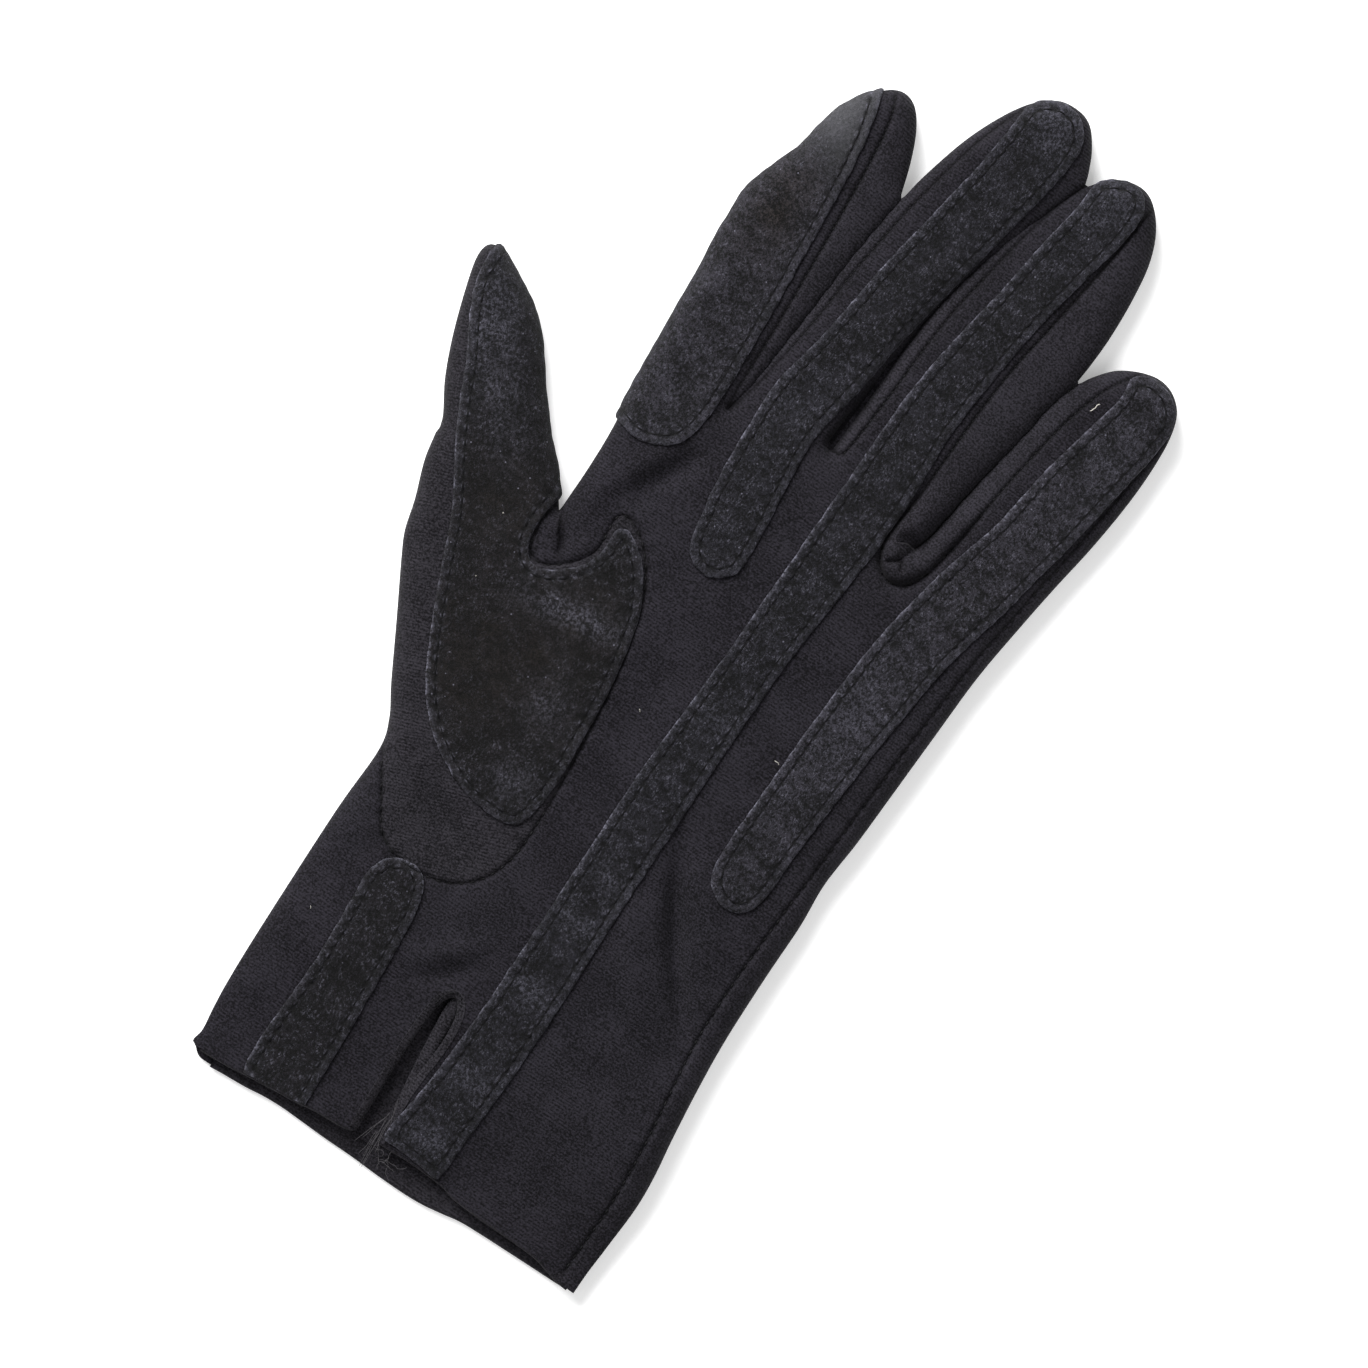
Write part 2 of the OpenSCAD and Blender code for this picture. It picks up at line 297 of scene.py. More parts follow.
SEAMS = {
    "index": [
        (-31.6, 222), (-30.6, 219.6), (-29, 215), (-27.9, 208), (-27.2, 200), (-26.6, 192), (-26, 182),
        (-25.5, 173), (-25.2, 165), (-25, 158), (-24.6, 153.4)
    ],
    "middle": [
        (-7.4, 235), (-8.8, 231.6), (-11.3, 226), (-13.6, 219), (-15.4, 211), (-16.9, 203), (-18.2, 194),
        (-19.2, 186), (-19.9, 178), (-20.9, 170), (-22, 163), (-23.2, 157), (-24.4, 153.4)
    ],
    "ring": [
        (8.5, 225.6), (7.9, 224.2), (5.6, 218), (4.2, 212), (3, 206), (2, 200), (0.8, 193), (0.1, 186),
        (-0.3, 179), (-0.6, 172), (-1.1, 165), (-1.5, 160), (-2.1, 157.9), (-3.9, 157.6)
    ],
    "loop": [
        (21.6, 230), (20.9, 227), (19.9, 217), (18.6, 207), (17.3, 198), (16, 190), (15.1, 180), (14.7, 170),
        (14.4, 160), (13.7, 152.5), (13.9, 147.5), (15.7, 144.2), (18.3, 142.9), (21.2, 144), (23.3, 147.5),
        (24.5, 153), (25.6, 160), (26.5, 168), (27.7, 176), (28.9, 183), (30.6, 190), (32.8, 196),
        (35.3, 200), (37, 203.4)
    ],
    "outer": [
        (48.4, 196), (47.2, 194.5), (46.2, 185), (45.1, 176), (43.8, 165), (42.5, 157), (41.4, 149),
        (40.2, 141), (39.4, 132), (38.6, 122), (38, 112), (37.4, 102), (36.9, 92), (36.3, 82), (35.8, 72),
        (35.5, 62), (35.7, 53), (36.5, 45), (37.7, 36), (38.6, 28), (39.3, 18), (39.2, 9), (38.9, 1.4),
        (38.7, -1)
    ],
    "gusset": [
        (-44.8, 66.6), (-43.9, 65.6), (-41, 61), (-38, 56.5), (-34.6, 51.6), (-29.5, 49.3), (-22, 49.7),
        (-17, 52), (-13.5, 56), (-11.6, 62), (-11.4, 70), (-12, 80), (-13, 90), (-14.3, 100), (-15.7, 107),
        (-17.3, 113), (-20, 118.8), (-24, 123.6), (-28.4, 126), (-30.6, 124.8), (-30.2, 118.6),
        (-31.4, 115.2), (-33.7, 112.6), (-36.2, 110.6), (-38.4, 109.9), (-40.6, 110.8), (-41.85, 114.4),
        (-41.95, 118), (-41.5, 121), (-41.1, 122.3)
    ],
}
# Cut edges of the suede. A closed strip lies on the palm side; the two patches also fold round an edge.
STRIPS = {
    "middle": [
        (-8.6, 231.6), (-9.3, 226), (-10.4, 218), (-12.6, 205), (-15, 191.5), (-17.2, 175), (-19.5, 163),
        (-19.6, 153), (-19, 143), (-17.6, 133.5), (-16.6, 128.6), (-14.6, 126), (-11, 125), (-8.4, 126),
        (-6.2, 128.3), (-5.9, 132), (-6.4, 139), (-7.5, 150), (-7.9, 158), (-6.2, 169), (-4.2, 183.5),
        (-1.3, 199), (1.5, 212.5), (3.5, 224), (3.4, 230.5), (1, 234.2), (-2, 235.3), (-5.6, 234.6)
    ],
    "ring": [
        (9.9, 226.6), (9, 219.5), (7.2, 209), (5.4, 197), (3.4, 186), (2, 174), (1.6, 160), (1.3, 148),
        (0.9, 132), (0.5, 115), (-0.1, 102), (-0.8, 88), (-0.8, 70), (-0.8, 50), (-0.9, 34), (-1.6, 20),
        (-2.5, 11.5), (-3.1, 5.6), (-2.4, 4), (0, 3.9), (5, 3.6), (9.2, 3.2), (9.9, 5), (10.2, 12),
        (10.8, 25), (11, 43), (10.7, 60), (10.5, 78), (10.6, 100), (11, 120), (12.1, 132), (13.1, 146),
        (13.3, 160), (12.9, 172), (14, 186), (15.7, 199), (18, 211), (20, 221), (19.7, 227), (17, 229.6),
        (13.4, 229.3)
    ],
    "little": [
        (35.6, 199.6), (35.4, 194.5), (33.4, 186), (31.4, 177), (29.4, 164), (27, 154.5), (24.5, 144.5),
        (22.4, 132.5), (21.3, 118), (20.6, 102), (20.3, 84), (21.6, 77.8), (26, 75.2), (30, 76.6),
        (31.7, 81), (32, 91), (33, 104), (34.3, 120), (36.3, 136), (39.6, 150.5), (42.6, 166), (45, 180),
        (46.6, 190.5), (46.4, 196.6), (43.6, 200.4), (39, 201.6)
    ],
    "wrist": [
        (-31.2, -1.5), (-31.8, 0.4), (-32.4, 3), (-32.5, 10), (-32, 25), (-32.5, 38), (-32.9, 44),
        (-31.2, 48.3), (-27, 50.1), (-23.4, 48.8), (-21.4, 44.2), (-20.4, 35), (-19.7, 25), (-19.1, 14),
        (-18.7, 4), (-18.6, 0)
    ],
}
INDEX_PATCH = [
    (-33.9, 221.5), (-33.2, 219.2), (-31.6, 213.5), (-30.2, 206), (-29.2, 196), (-28.3, 184), (-27.3, 170),
    (-26.7, 157), (-26.9, 148), (-28.6, 142.8), (-32, 140.2), (-36.4, 139.2), (-40.2, 140.3), (-42, 141)
]
THUMB_PATCH = [
    (-78, 156.6), (-77.6, 154.6), (-77.1, 149), (-74.8, 142.6), (-70.4, 134.3), (-65, 123), (-60.6, 115.4),
    (-56.2, 107.4), (-53, 99.5), (-48.6, 89.6), (-44, 80.5), (-39.2, 74.4), (-32.6, 69.4), (-26, 66.6),
    (-19.5, 65.6), (-14.8, 66.6), (-13.2, 70.6), (-12.6, 77), (-12.9, 84), (-13.9, 96), (-15.4, 106),
    (-17.2, 112.4), (-20.6, 118.6), (-24.4, 122.4), (-27.6, 124), (-29.4, 122.6), (-29.3, 118.2),
    (-30.6, 114.6), (-33, 111.8), (-35.8, 109.7), (-38.4, 109), (-40.8, 110.2), (-42.2, 114), (-42.3, 118),
    (-42, 121), (-41.7, 123)
]
# The far sides of the two patches, past the folded edge that they wrap round
INDEX_BEYOND = [(-50, 141), (-50, 224), (-34, 224)]
THUMB_BEYOND = [(-41.9, 126), (-56, 144), (-62, 160), (-77.5, 160)]

# Loose folds of the cloth: the line, how wide, and how high or deep
FOLDS = [
    ([(12, 82), (17, 73), (23, 63.5), (29, 56), (35.5, 48)], 2.0, -2.9),
    ([(9, 70), (14, 62), (21, 53), (28, 46)], 3.0, 1.2),
    ([(18, 84), (26, 71), (34, 61)], 3.0, 1.2),
    ([(-37, 67), (-29, 61), (-19, 56)], 1.8, -1.7),
    ([(-38, 72), (-30, 66), (-18, 62)], 2.6, 0.3),
    ([(-20, 35), (-13, 39), (-5, 47)], 2.0, 0.8),
    ([(-19, 29), (-12, 34.5), (-5, 41)], 1.7, -0.7),
    ([(-20, 12), (-14, 7), (-9, 3)], 1.1, -0.35),
    ([(-22, 9), (-16, 5), (-12, 2)], 1.1, 0.25),
    ([(-37.8, 119), (-36.6, 115.4), (-35.3, 112.2)], 1.2, -0.7),
    ([(-35, 113.2), (-33.4, 116.4), (-32.6, 120)], 1.4, 0.5),
    ([(-30.8, 126.6), (-34, 131), (-38, 134)], 1.3, -0.4),
    ([(-30.6, 127), (-27, 131), (-22, 133)], 1.2, -0.45),
    ([(-29, 128.6), (-23, 129), (-17, 126)], 1.1, -0.4),
    ([(-38, 124), (-33, 134), (-26, 148)], 2.8, 1.0),
    ([(-33, 126), (-28.5, 134), (-22.5, 146)], 2.2, -1.3),
    ([(-8, 112), (-6, 92), (-7, 66)], 4.0, -0.5),
    ([(13, 30), (22, 24), (33, 22)], 4.0, 0.3),
    ([(-42, 66), (-42.5, 34), (-42, -6)], 6.5, -1.0),
]
# Creases of the gathered loop: the line and how deep
STAR = [
    ([(17.9, 147.6), (17.2, 146.7), (16.2, 146)], 1.3),
    ([(17.9, 147.6), (18.5, 146.9), (19.1, 146)], 1.3),
    ([(17.9, 147.6), (18.4, 148.8), (19.2, 150.9)], 0.8),
]
# Places where the cloth lies over itself: the edge, with the upper layer on its left, whether it fades out at
# its first point, how high the upper layer stands, how deep the lower layer dips, and how far both reach
CREASES = [
    ([(-35.8, 111.6), (-36.2, 113), (-36.8, 114), (-37.8, 115.7), (-39, 117.7), (-40.2, 120.4)],
     True, 0.3, 0.7, 2.2),
    ([(19.2, 150.9), (16.8, 150.4), (14.6, 150.1)], False, 0.2, 1.5, 2.3),
]
# Places where seams are covered and do not show as a dark line: x, y, radius, how much
HIDDEN = [(-32, 112.5, 5, 0.65), (-29.5, 119, 4, 0.45), (-41.5, 115, 4.5, 0.45)]
# Shade under folds of the cloth: a line, how wide and how dark
SHADES = [
    ([(-34.9, 111.8), (-36, 114.2), (-37.1, 116), (-38.4, 118), (-39.6, 120)], 0.9, 0.5),
    ([(19.6, 152.6), (18.6, 151.6), (17, 151)], 0.9, 0.45),
    ([(15.2, 145), (16.6, 143.9), (18.4, 143.4), (20.6, 144.3), (22.2, 146.4), (23.2, 149)], 0.8, 0.6),
    ([(-5.1, 158.2), (-4.85, 163), (-4.5, 168), (-4, 173)], 0.8, 0.7),
]


def parted(line, side):
    """A parting line moved to one side by half the gap, which closes at the crotch."""
    line = curve(line)
    opening = np.clip((line[:, 1] - line[0, 1]) / 4, 0, 1)[:, None]
    return line + side * SLIT * opening * np.array([1.0, 0.0])


def joined(*parts):
    """Lines one after another as one, without doubled points."""
    out = np.vstack(parts)
    keep = np.concatenate([[True], np.linalg.norm(np.diff(out, axis=0), axis=1) > 0.05])
    return out[keep]


folded_edge = joined(
    curve(THUMB_SIDE), curve(THUMB_TIP), curve(INDEX_TIP),
    parted(PARTINGS[0], -1)[::-1], parted(PARTINGS[0], 1), curve(MIDDLE_TIP),
    parted(PARTINGS[1], -1)[::-1], parted(PARTINGS[1], 1), curve(RING_TIP),
    parted(PARTINGS[2], -1)[::-1], parted(PARTINGS[2], 1), curve(LITTLE_SIDE))
palm_hem = joined(curve(PALM_HEM_RIGHT), curve(VENT), curve(PALM_HEM_LEFT))
palm_outline = joined(folded_edge, palm_hem)[:-1]
seams = {name: curve(line) for name, line in SEAMS.items()}


def ragged(line, closed=False):
    """A cut edge: a smooth line with the small unevenness of scissors."""
    line = curve(line, step=0.6, closed=closed)
    shift = 0.08 * ripple(line, 1.3, 3) + 0.05 * ripple(line, 4.0, 4)
    if closed:
        line, shift = line[:-1], shift[:-1]
    return line + normals_of(line) * shift[:, None]


CLOSED_STRIPS = ("middle", "ring", "little")
suede_edges = {name: ragged(line, closed=name in CLOSED_STRIPS) for name, line in STRIPS.items()}
suede_edges["index"] = ragged(INDEX_PATCH)
suede_edges["thumb"] = ragged(THUMB_PATCH)
suede_areas = dict(suede_edges)
suede_areas["index"] = np.vstack([suede_edges["index"], INDEX_BEYOND])
suede_areas["thumb"] = np.vstack([suede_edges["thumb"], THUMB_BEYOND])

# ---------------------------------------------------------------- hinges, from the frame
hinges = {}
for joint in frame["joints"]:
    finger = joint["child"].rsplit("_", 1)[0]
    place = np.array(joint["pos_m"][:2]) / MM
    heading = np.array([-joint["axis"][1], joint["axis"][0]])
    hinges.setdefault(finger, []).append((place, heading))
knuckle = {f: hinges[f][0][0] for f in FINGERS}
heading_of = {f: hinges[f][0][1] for f in FINGERS}
middle_joint = {f: float((hinges[f][1][0] - knuckle[f]) @ heading_of[f]) for f in FINGERS}
REACH_BELOW = dict.fromkeys(FINGERS, HINGE_REACH) | {"index": 5.0}
cuts = {f: (-REACH_BELOW[f], middle_joint[f] / 2) for f in FINGERS}

# Lines that tell the fingers apart, carried on past their tips
BEYOND_TIPS = [[(-19.2, 240)], [(8.4, 226), (8.4, 240)], [(28, 196), (28.7, 200), (28.7, 240)]]
SORTING = [np.vstack([curve(line), beyond]) for line, beyond in zip(PARTINGS, BEYOND_TIPS)]
THUMB_SORTING = [(-40.4, 120.1), (-42.1, 124.5), (-46, 135), (-56, 160)]


def finger_of(points):
    """The number of each point's finger, from 0 for the thumb to 4."""
    x, y = points.T
    number = np.ones(len(points), int)
    for at in SORTING:
        number += x > np.interp(y, at[:, 1], at[:, 0])
    at = np.array(THUMB_SORTING)
    past = (points - knuckle["thumb"]) @ heading_of["thumb"] > cuts["thumb"][0]
    number[past & (x < np.interp(y, at[:, 1], at[:, 0])) & (y < THUMB_END_Y)] = 0
    return number


def stretch_of(points):
    """Each point's stretch, 0 for the hand, 1 and 2 for a finger's lower and upper piece, and its finger."""
    number = finger_of(points)
    stretch = np.zeros(len(points), int)
    for i, f in enumerate(FINGERS):
        past = (points - knuckle[f]) @ heading_of[f]
        mine = number == i
        if i:
            mine &= points[:, 1] > CROTCH_Y
        stretch[mine] = (past[mine] > cuts[f][0]).astype(int) + (past[mine] > cuts[f][1])
    return stretch, number


def cut_line(f, distance):
    """The straight cut across one finger."""
    across = np.array([heading_of[f][1], -heading_of[f][0]])
    a = palm_outline - knuckle[f] - heading_of[f] * distance
    b = np.roll(a, -1, axis=0)
    side_a, side_b = a @ heading_of[f], b @ heading_of[f]
    hit = side_a * side_b < 0
    at = ((a * side_b[:, None] - b * side_a[:, None])[hit] / (side_b - side_a)[hit][:, None]) @ across
    ends = [at[at < 0].max() - 0.1, at[at > 0].min() + 0.1]
    centre = knuckle[f] + heading_of[f] * distance
    return resample([centre + across * t for t in ends], GRID)


cut_lines = [cut_line(f, at) for f in FINGERS for at in cuts[f]]

# ---------------------------------------------------------------- heights
near_fold = Nearest(folded_edge)
near_seam = {name: Nearest(line) for name, line in seams.items()}
STRONG_SEAMS = ("outer", "gusset")    # the ones whose stitches show and pucker the cloth
near_vent = Nearest(curve(VENT))
near_mouth = Nearest(joined(curve(PALM_HEM_RIGHT), curve(PALM_HEM_LEFT)))
near_folds = [(Nearest(curve(line)), wide, high) for line, wide, high in FOLDS]
near_star = [(Nearest(np.array(line)), deep) for line, deep in STAR]
near_creases = [(Nearest(curve(line)), *sizes) for line, *sizes in CREASES]
near_partings = [Nearest(curve(line)) for line in PARTINGS]
near_trough = near_partings[1]

# How far each point of the folded edge faces away from the light, smoothed over a few mm
shaded = smoothed(np.clip(-normals_of(near_fold.line) @ TO_LIGHT, 0, 1), 60)
# How far touching fingers push each other's edges up at each parting: at least, how much more further up,
# from which y, and over how many mm
PUSHED_UP = [(2.1, 0, 0, 1), (1.2, 1.0, 182, 14), (0.7, 0.9, 165, 15)]


def fold_height(points, along):
    """Height of the folded edge nearest to points."""
    y = points[:, 1]
    height = np.full(len(points), FOLD_Z)
    free = FULLER * np.interp(along, near_fold.run, shaded)
    for near, (least, more, start, over) in zip(near_partings, PUSHED_UP):
        close = hump(near(points)[0], 3.5)
        height += (least + more * ease((y - start) / over)) * close
        free *= 1 - close
    return height + free


def shown(points):
    """How much of a seam's dark line shows at each place."""
    left = np.ones(len(points))
    for x, y, radius, much in HIDDEN:
        left -= much * np.exp(-(((points[:, 0] - x) ** 2 + (points[:, 1] - y) ** 2) / radius**2))
    return np.clip(left, 0, 1)


def palm_height(points):
    """Height of the cloth's palm side, in mm."""
    points = np.asarray(points, float)
    y = points[:, 1]
    d, edge_along = near_fold(points)
    top = PALM_TOP + (FINGER_TOP - PALM_TOP) * ease((y - CROTCH_Y) / 20)
    top = top * (CUFF_FLAT + (1 - CUFF_FLAT) * ease((y + 2) / 34))
    top += 0.35 * ripple(points, 15, 1) + 0.14 * ripple(points, 6, 2)
    for near, wide, high in near_folds:
        gap, along = near(points)
        taper = np.sin(math.pi * np.clip(along / near.run[-1], 0.06, 0.94))
        top += high * taper * hump(gap, wide)
    for name, near in near_seam.items():
        gap, along = near(points)
        pucker = 0.2 if name in STRONG_SEAMS else 0.08
        top += pucker * np.exp(-gap / 2.2) * np.sin(math.tau * along / 4.3 + 3 * ripple(points, 14, 5))
        top -= SEAM_DEEP * hump(gap, SEAM_WIDE)
    # The gathered loop rolls up out of a groove between the ring and little fingers
    gap, _ = near_seam["loop"](points)
    near_crotch = ease((LOOP_END_Y - y) / 14)
    roll = LOOP_HIGH * np.sin(math.pi / 2 * np.clip(gap / LOOP_ROUND, 0, 1)) - 0.3
    in_loop = inside(points, seams["loop"])
    top += np.where(in_loop, near_crotch * roll, -0.7 * near_crotch * hump(gap, 1.0))
    for near, fades_first, stands, dips, reach in near_creases:
        gap, along = near(points)
        from_end = along if fades_first else near.run[-1] - along
        taper = ease(from_end / (0.45 * near.run[-1]))
        top += taper * np.where(near.left_of(points), stands * hump(gap, reach), -dips * hump(gap, reach, 4))
    top -= np.max([deep * hump(near(points)[0], 0.5) for near, deep in near_star], axis=0)
    gap, _ = near_vent(points)
    top += 0.35 * hump(gap, 1.6) - 0.6 * hump(gap, 0.5)
    # The hollow between the middle and ring fingers: flat on the middle finger's side, steep on the other
    gap, _ = near_trough(points)
    close = hump(gap, TROUGH_WIDE, 4) * ease((TROUGH_Y[1] - y) / 34) * ease((y - TROUGH_Y[0]) / 1.4)
    flat = np.where(near_trough.left_of(points), *TROUGH_FLAT)
    rise = round_up(np.clip(d - flat * close, 0, None) / (DOME - TROUGH_STEEP * close))
    low = fold_height(points, edge_along)
    return low + np.maximum(top - low, 0.4) * rise


def back_height(points):
    """Height of the back's underside, in mm."""
    points = np.asarray(points, float)
    d, edge_along = near_fold(points)
    lift = 0.12 * (1 + ripple(points, 22, 6)) * ease(d / 6)
    return FLOOR_Z + lift + (fold_height(points, edge_along) - FLOOR_Z) * (1 - round_up(d / BACK_ROUND))


# ---------------------------------------------------------------- the shell
def hex_points(low, high, spacing):
    """Evenly spread points over a rectangle."""
    rows = []
    for i, y in enumerate(np.arange(low[1], high[1], spacing * math.sqrt(3) / 2)):
        xs = np.arange(low[0] + (i % 2) * spacing / 2, high[0], spacing)
        rows.append(np.column_stack([xs, np.full(len(xs), y)]))
    return np.vstack(rows)


def apart(points, others, gap):
    """The points that are at least gap away from the others."""
    tree = tree_of(others)
    return points[[tree.find((x, y, 0))[2] > gap for x, y in points]]


def row_inside(line, near, distance, side):
    """Points along a line moved sideways, without those that crowd its bends."""
    row = line + normals_of(line) * (side * distance)
    return row[near(row)[0] > 0.9 * distance]


CROWDED = 0.22    # corners closer than this to a line are left out


def triangulate(outline, lines, rows, spacing):
    """Corner places and triangles inside the outline, with every line kept as edges."""
    fixed, edges = [], []
    first = 0
    for line, closed in [(outline, True)] + lines:
        count = len(line)
        fixed.append(line)
        edges += [(first + i, first + (i + 1) % count) for i in range(count if closed else count - 1)]
        first += count
    fixed = np.vstack(fixed)
    beside = apart(np.vstack(rows), fixed, CROWDED)
    spread = hex_points(outline.min(0), outline.max(0), spacing)
    spread = apart(spread, np.vstack([fixed, beside]), spacing * 0.55)
    loose = np.vstack([beside, spread])
    loose = loose[inside(loose, outline)]
    corners = [Vector(p) for p in np.vstack([fixed, loose])]
    corners, _, triangles, *_ = delaunay_2d_cdt(corners, edges, [], 0, 1e-4)
    corners = np.array([tuple(v) for v in corners])
    triangles = np.array([t for t in triangles if len(t) == 3])
    a, b, c = (corners[triangles[:, k]] for k in range(3))
    area = (b - a)[:, 0] * (c - a)[:, 1] - (b - a)[:, 1] * (c - a)[:, 0]
    triangles[area < 0] = triangles[area < 0][:, ::-1]
    good = (np.abs(area) > 1e-5) & inside((a + b + c) / 3, outline)
    return corners, triangles[good]


SUEDE_NAMES = FINGERS + ("wrist",)
WRAPPED = ("index", "thumb")    # the patches that fold round the edge onto the back


def whole_edge(name):
    """A piece of suede's edge line, back to its start if it is a closed strip."""
    line = suede_edges[name]
    return np.vstack([line, line[:1]]) if name in CLOSED_STRIPS else line


near_suede = {name: Nearest(whole_edge(name)) for name in SUEDE_NAMES}


def inner_side(name):
    """+1 if the suede lies to the left of its edge line, else -1."""
    line = suede_edges[name]
    return 1 if np.mean(inside(line + normals_of(line) * 0.5, suede_areas[name])) > 0.5 else -1


def stitch_line(name):
    """Where a piece of suede is stitched down."""
    row = row_inside(suede_edges[name], near_suede[name], STITCH_IN, inner_side(name))
    if name in CLOSED_STRIPS:
        row = np.vstack([row, row[:1]])
    return resample(smoothed(row, 6), 0.6)


stitch_lines = {name: stitch_line(name) for name in SUEDE_NAMES}
near_stitches = {name: Nearest(line) for name, line in stitch_lines.items()}

cover_lines = [(joined(whole_edge(name)), False) for name in suede_edges]
crease_lines = [curve(line) for line, *_ in CREASES] + [resample(line, 0.4) for line, _ in STAR]
dividing = [(line, False) for line in list(seams.values()) + cut_lines + crease_lines] + cover_lines

# Rows of corners beside each line, at these distances, where the cloth curves most
palm_rows = [row_inside(folded_edge, near_fold, d, -1) for d in (0.3, 0.85, 1.45)]
for name in SUEDE_NAMES:
    for d in (0.3, 0.8, 1.25, 1.52, 1.75, 1.98, 2.3):
        palm_rows.append(row_inside(suede_edges[name], near_suede[name], d, inner_side(name)))
beside = [(line, near_seam[name], (0.28, 0.65, 1.15)) for name, line in seams.items()]
beside += [(line, near, (0.3, 0.65)) for line, (near, *_) in zip(crease_lines, near_creases + near_star)]
for line, near, distances in beside:
    palm_rows += [row_inside(line, near, d, side) for d in distances for side in (1, -1)]

back_outline = joined(folded_edge, curve(BACK_HEM))[:-1]
wraps = []
for name in WRAPPED:
    covered = folded_edge[inside(folded_edge, suede_areas[name])]
    wraps.append((row_inside(covered, near_fold, WRAP, -1), False))
back_rows = [row_inside(folded_edge, near_fold, d, -1) for d in (0.35, 0.8, 1.7, 2.6)]

palm_xy, palm_faces = triangulate(palm_outline, dividing, palm_rows, GRID)
back_xy, back_faces = triangulate(back_outline, dividing + wraps, back_rows, BACK_GRID)


def weld(places, faces):
    """The same surface with corners in the same place made one."""
    _, first, where = np.unique(np.round(places, 3), axis=0, return_index=True, return_inverse=True)
    return places[first], where.ravel()[faces]


palm_places = np.column_stack([palm_xy, palm_height(palm_xy)])
back_places = np.column_stack([back_xy, back_height(back_xy)])
shell, faces = weld(np.vstack([palm_places, back_places]),
                    np.vstack([palm_faces, back_faces[:, ::-1] + len(palm_xy)]))
on_back = np.arange(len(faces)) >= len(palm_faces)
# Between touching fingers the gap all but closes, so that no light shows in it
for near in near_partings:
    gap, along = near(shell[:, :2])
    side = np.where(near.left_of(shell[:, :2]), 1, -1)
    shell[:, 0] += (gap < 2 * SLIT) * side * (SLIT - HAIR) * np.clip(along / 4, 0, 1)


def vertex_normals(places, faces):
    """The way out of the surface at each corner."""
    a, b, c = (places[faces[:, k]] for k in range(3))
    face_way = np.cross(b - a, c - a)
    way = np.zeros_like(places)
    for k in range(3):
        np.add.at(way, faces[:, k], face_way)
    return way / (np.linalg.norm(way, axis=1)[:, None] + 1e-12)


def spread_out(values, faces, times):
    """Values at corners, averaged with their neighbours."""
    for _ in range(times):
        total = values.copy()
        count = np.ones(len(values))
        for a, b in ((0, 1), (1, 2), (2, 0)):
            np.add.at(total, faces[:, a], values[faces[:, b]])
            np.add.at(total, faces[:, b], values[faces[:, a]])
            np.add.at(count, faces[:, a], 1)
            np.add.at(count, faces[:, b], 1)
        values = total / count[:, None]
    return values


shell_way = vertex_normals(shell, faces)
calm_way = spread_out(shell_way, faces, 4)
calm_way /= np.linalg.norm(calm_way, axis=1)[:, None] + 1e-12
centre = shell[faces].mean(1)[:, :2]
face_stretch, face_finger = stretch_of(centre)

# ---------------------------------------------------------------- which panel each face is in
FAR = 300
side_areas = [
    np.vstack([seams["index"], seams["middle"][::-1], [(-8, FAR), (-31, FAR)]]),
    np.vstack([seams["ring"], curve(PARTINGS[1]), [(8.4, FAR)]]),
    np.vstack([seams["loop"], [(37, FAR), (22, FAR)]]),
    np.vstack([seams["outer"], [(38.9, -20), (FAR, -20), (FAR, FAR), (48.4, FAR)]]),
]
gusset_area = np.vstack([seams["gusset"], [(-42, 126), (-56, 146), (-62, 160), (-90, 160), (-90, 66)]])
in_side = np.zeros(len(faces), bool)
for area in side_areas:
    in_side |= inside(centre, area)
in_side &= ~on_back
in_gusset = inside(centre, gusset_area) & ~on_back

# ---------------------------------------------------------------- making pieces
def boundary(some):
    """The edges that only one of these faces has, in its direction."""
    edges = np.vstack([some[:, [0, 1]], some[:, [1, 2]], some[:, [2, 0]]])
    big = edges.max() + 1
    code = edges[:, 0] * big + edges[:, 1]
    back = edges[:, 1] * big + edges[:, 0]
    return edges[~np.isin(code, back)]


def new_object(name, places, faces, material, values=None):
    """A piece from places in mm, smooth except at its rims."""
    mesh = bpy.data.meshes.new(name)
    mesh.from_pydata((places * MM).tolist(), [], faces)
    mesh.polygons.foreach_set("use_smooth", np.ones(len(mesh.polygons), bool))
    mesh.set_sharp_from_angle(angle=math.radians(55))
    for attribute, numbers in (values or {}).items():
        made = mesh.attributes.new(attribute, "FLOAT", "POINT")
        made.data.foreach_set("value", np.asarray(numbers, np.float32))
    mesh.materials.append(material)
    obj = bpy.data.objects.new(name, mesh)
    bpy.context.collection.objects.link(obj)
    return obj


def slab(name, some, way, low, high, material, values=None):
    """A closed piece between two offsets, low and high, of some faces of the shell."""
    used = np.unique(some)
    index = np.full(len(shell), -1)
    index[used] = np.arange(len(used))
    top = index[some]
    count = len(used)
    outer = shell[used] + way[used] * high[used][:, None]
    outer[:, 2] = np.maximum(outer[:, 2], LOWEST)
    inner = shell[used] + way[used] * low[used][:, None]
    walls = [[b, a, a + count, b + count] for a, b in boundary(top)]
    all_faces = top.tolist() + (top[:, ::-1] + count).tolist() + walls
    if values:
        inside_part = {"edge_wear_and_highlight": 0.25}    # the worn rim and its painted highlight show on the outside and less on the inside
        values = {key: np.concatenate([v[used], v[used] * inside_part.get(key, 1)])
                  for key, v in values.items()}
    return new_object(name, np.vstack([outer, inner]), all_faces, material, values)


def attach(obj, stretch):
    """Makes a piece follow the hand, or, for a finger's piece, bakes its place into its corners."""
    if stretch == 0:
        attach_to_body(obj, "hand")
    elif stretch == 1:
        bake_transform(obj)
    else:
        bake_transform(obj)


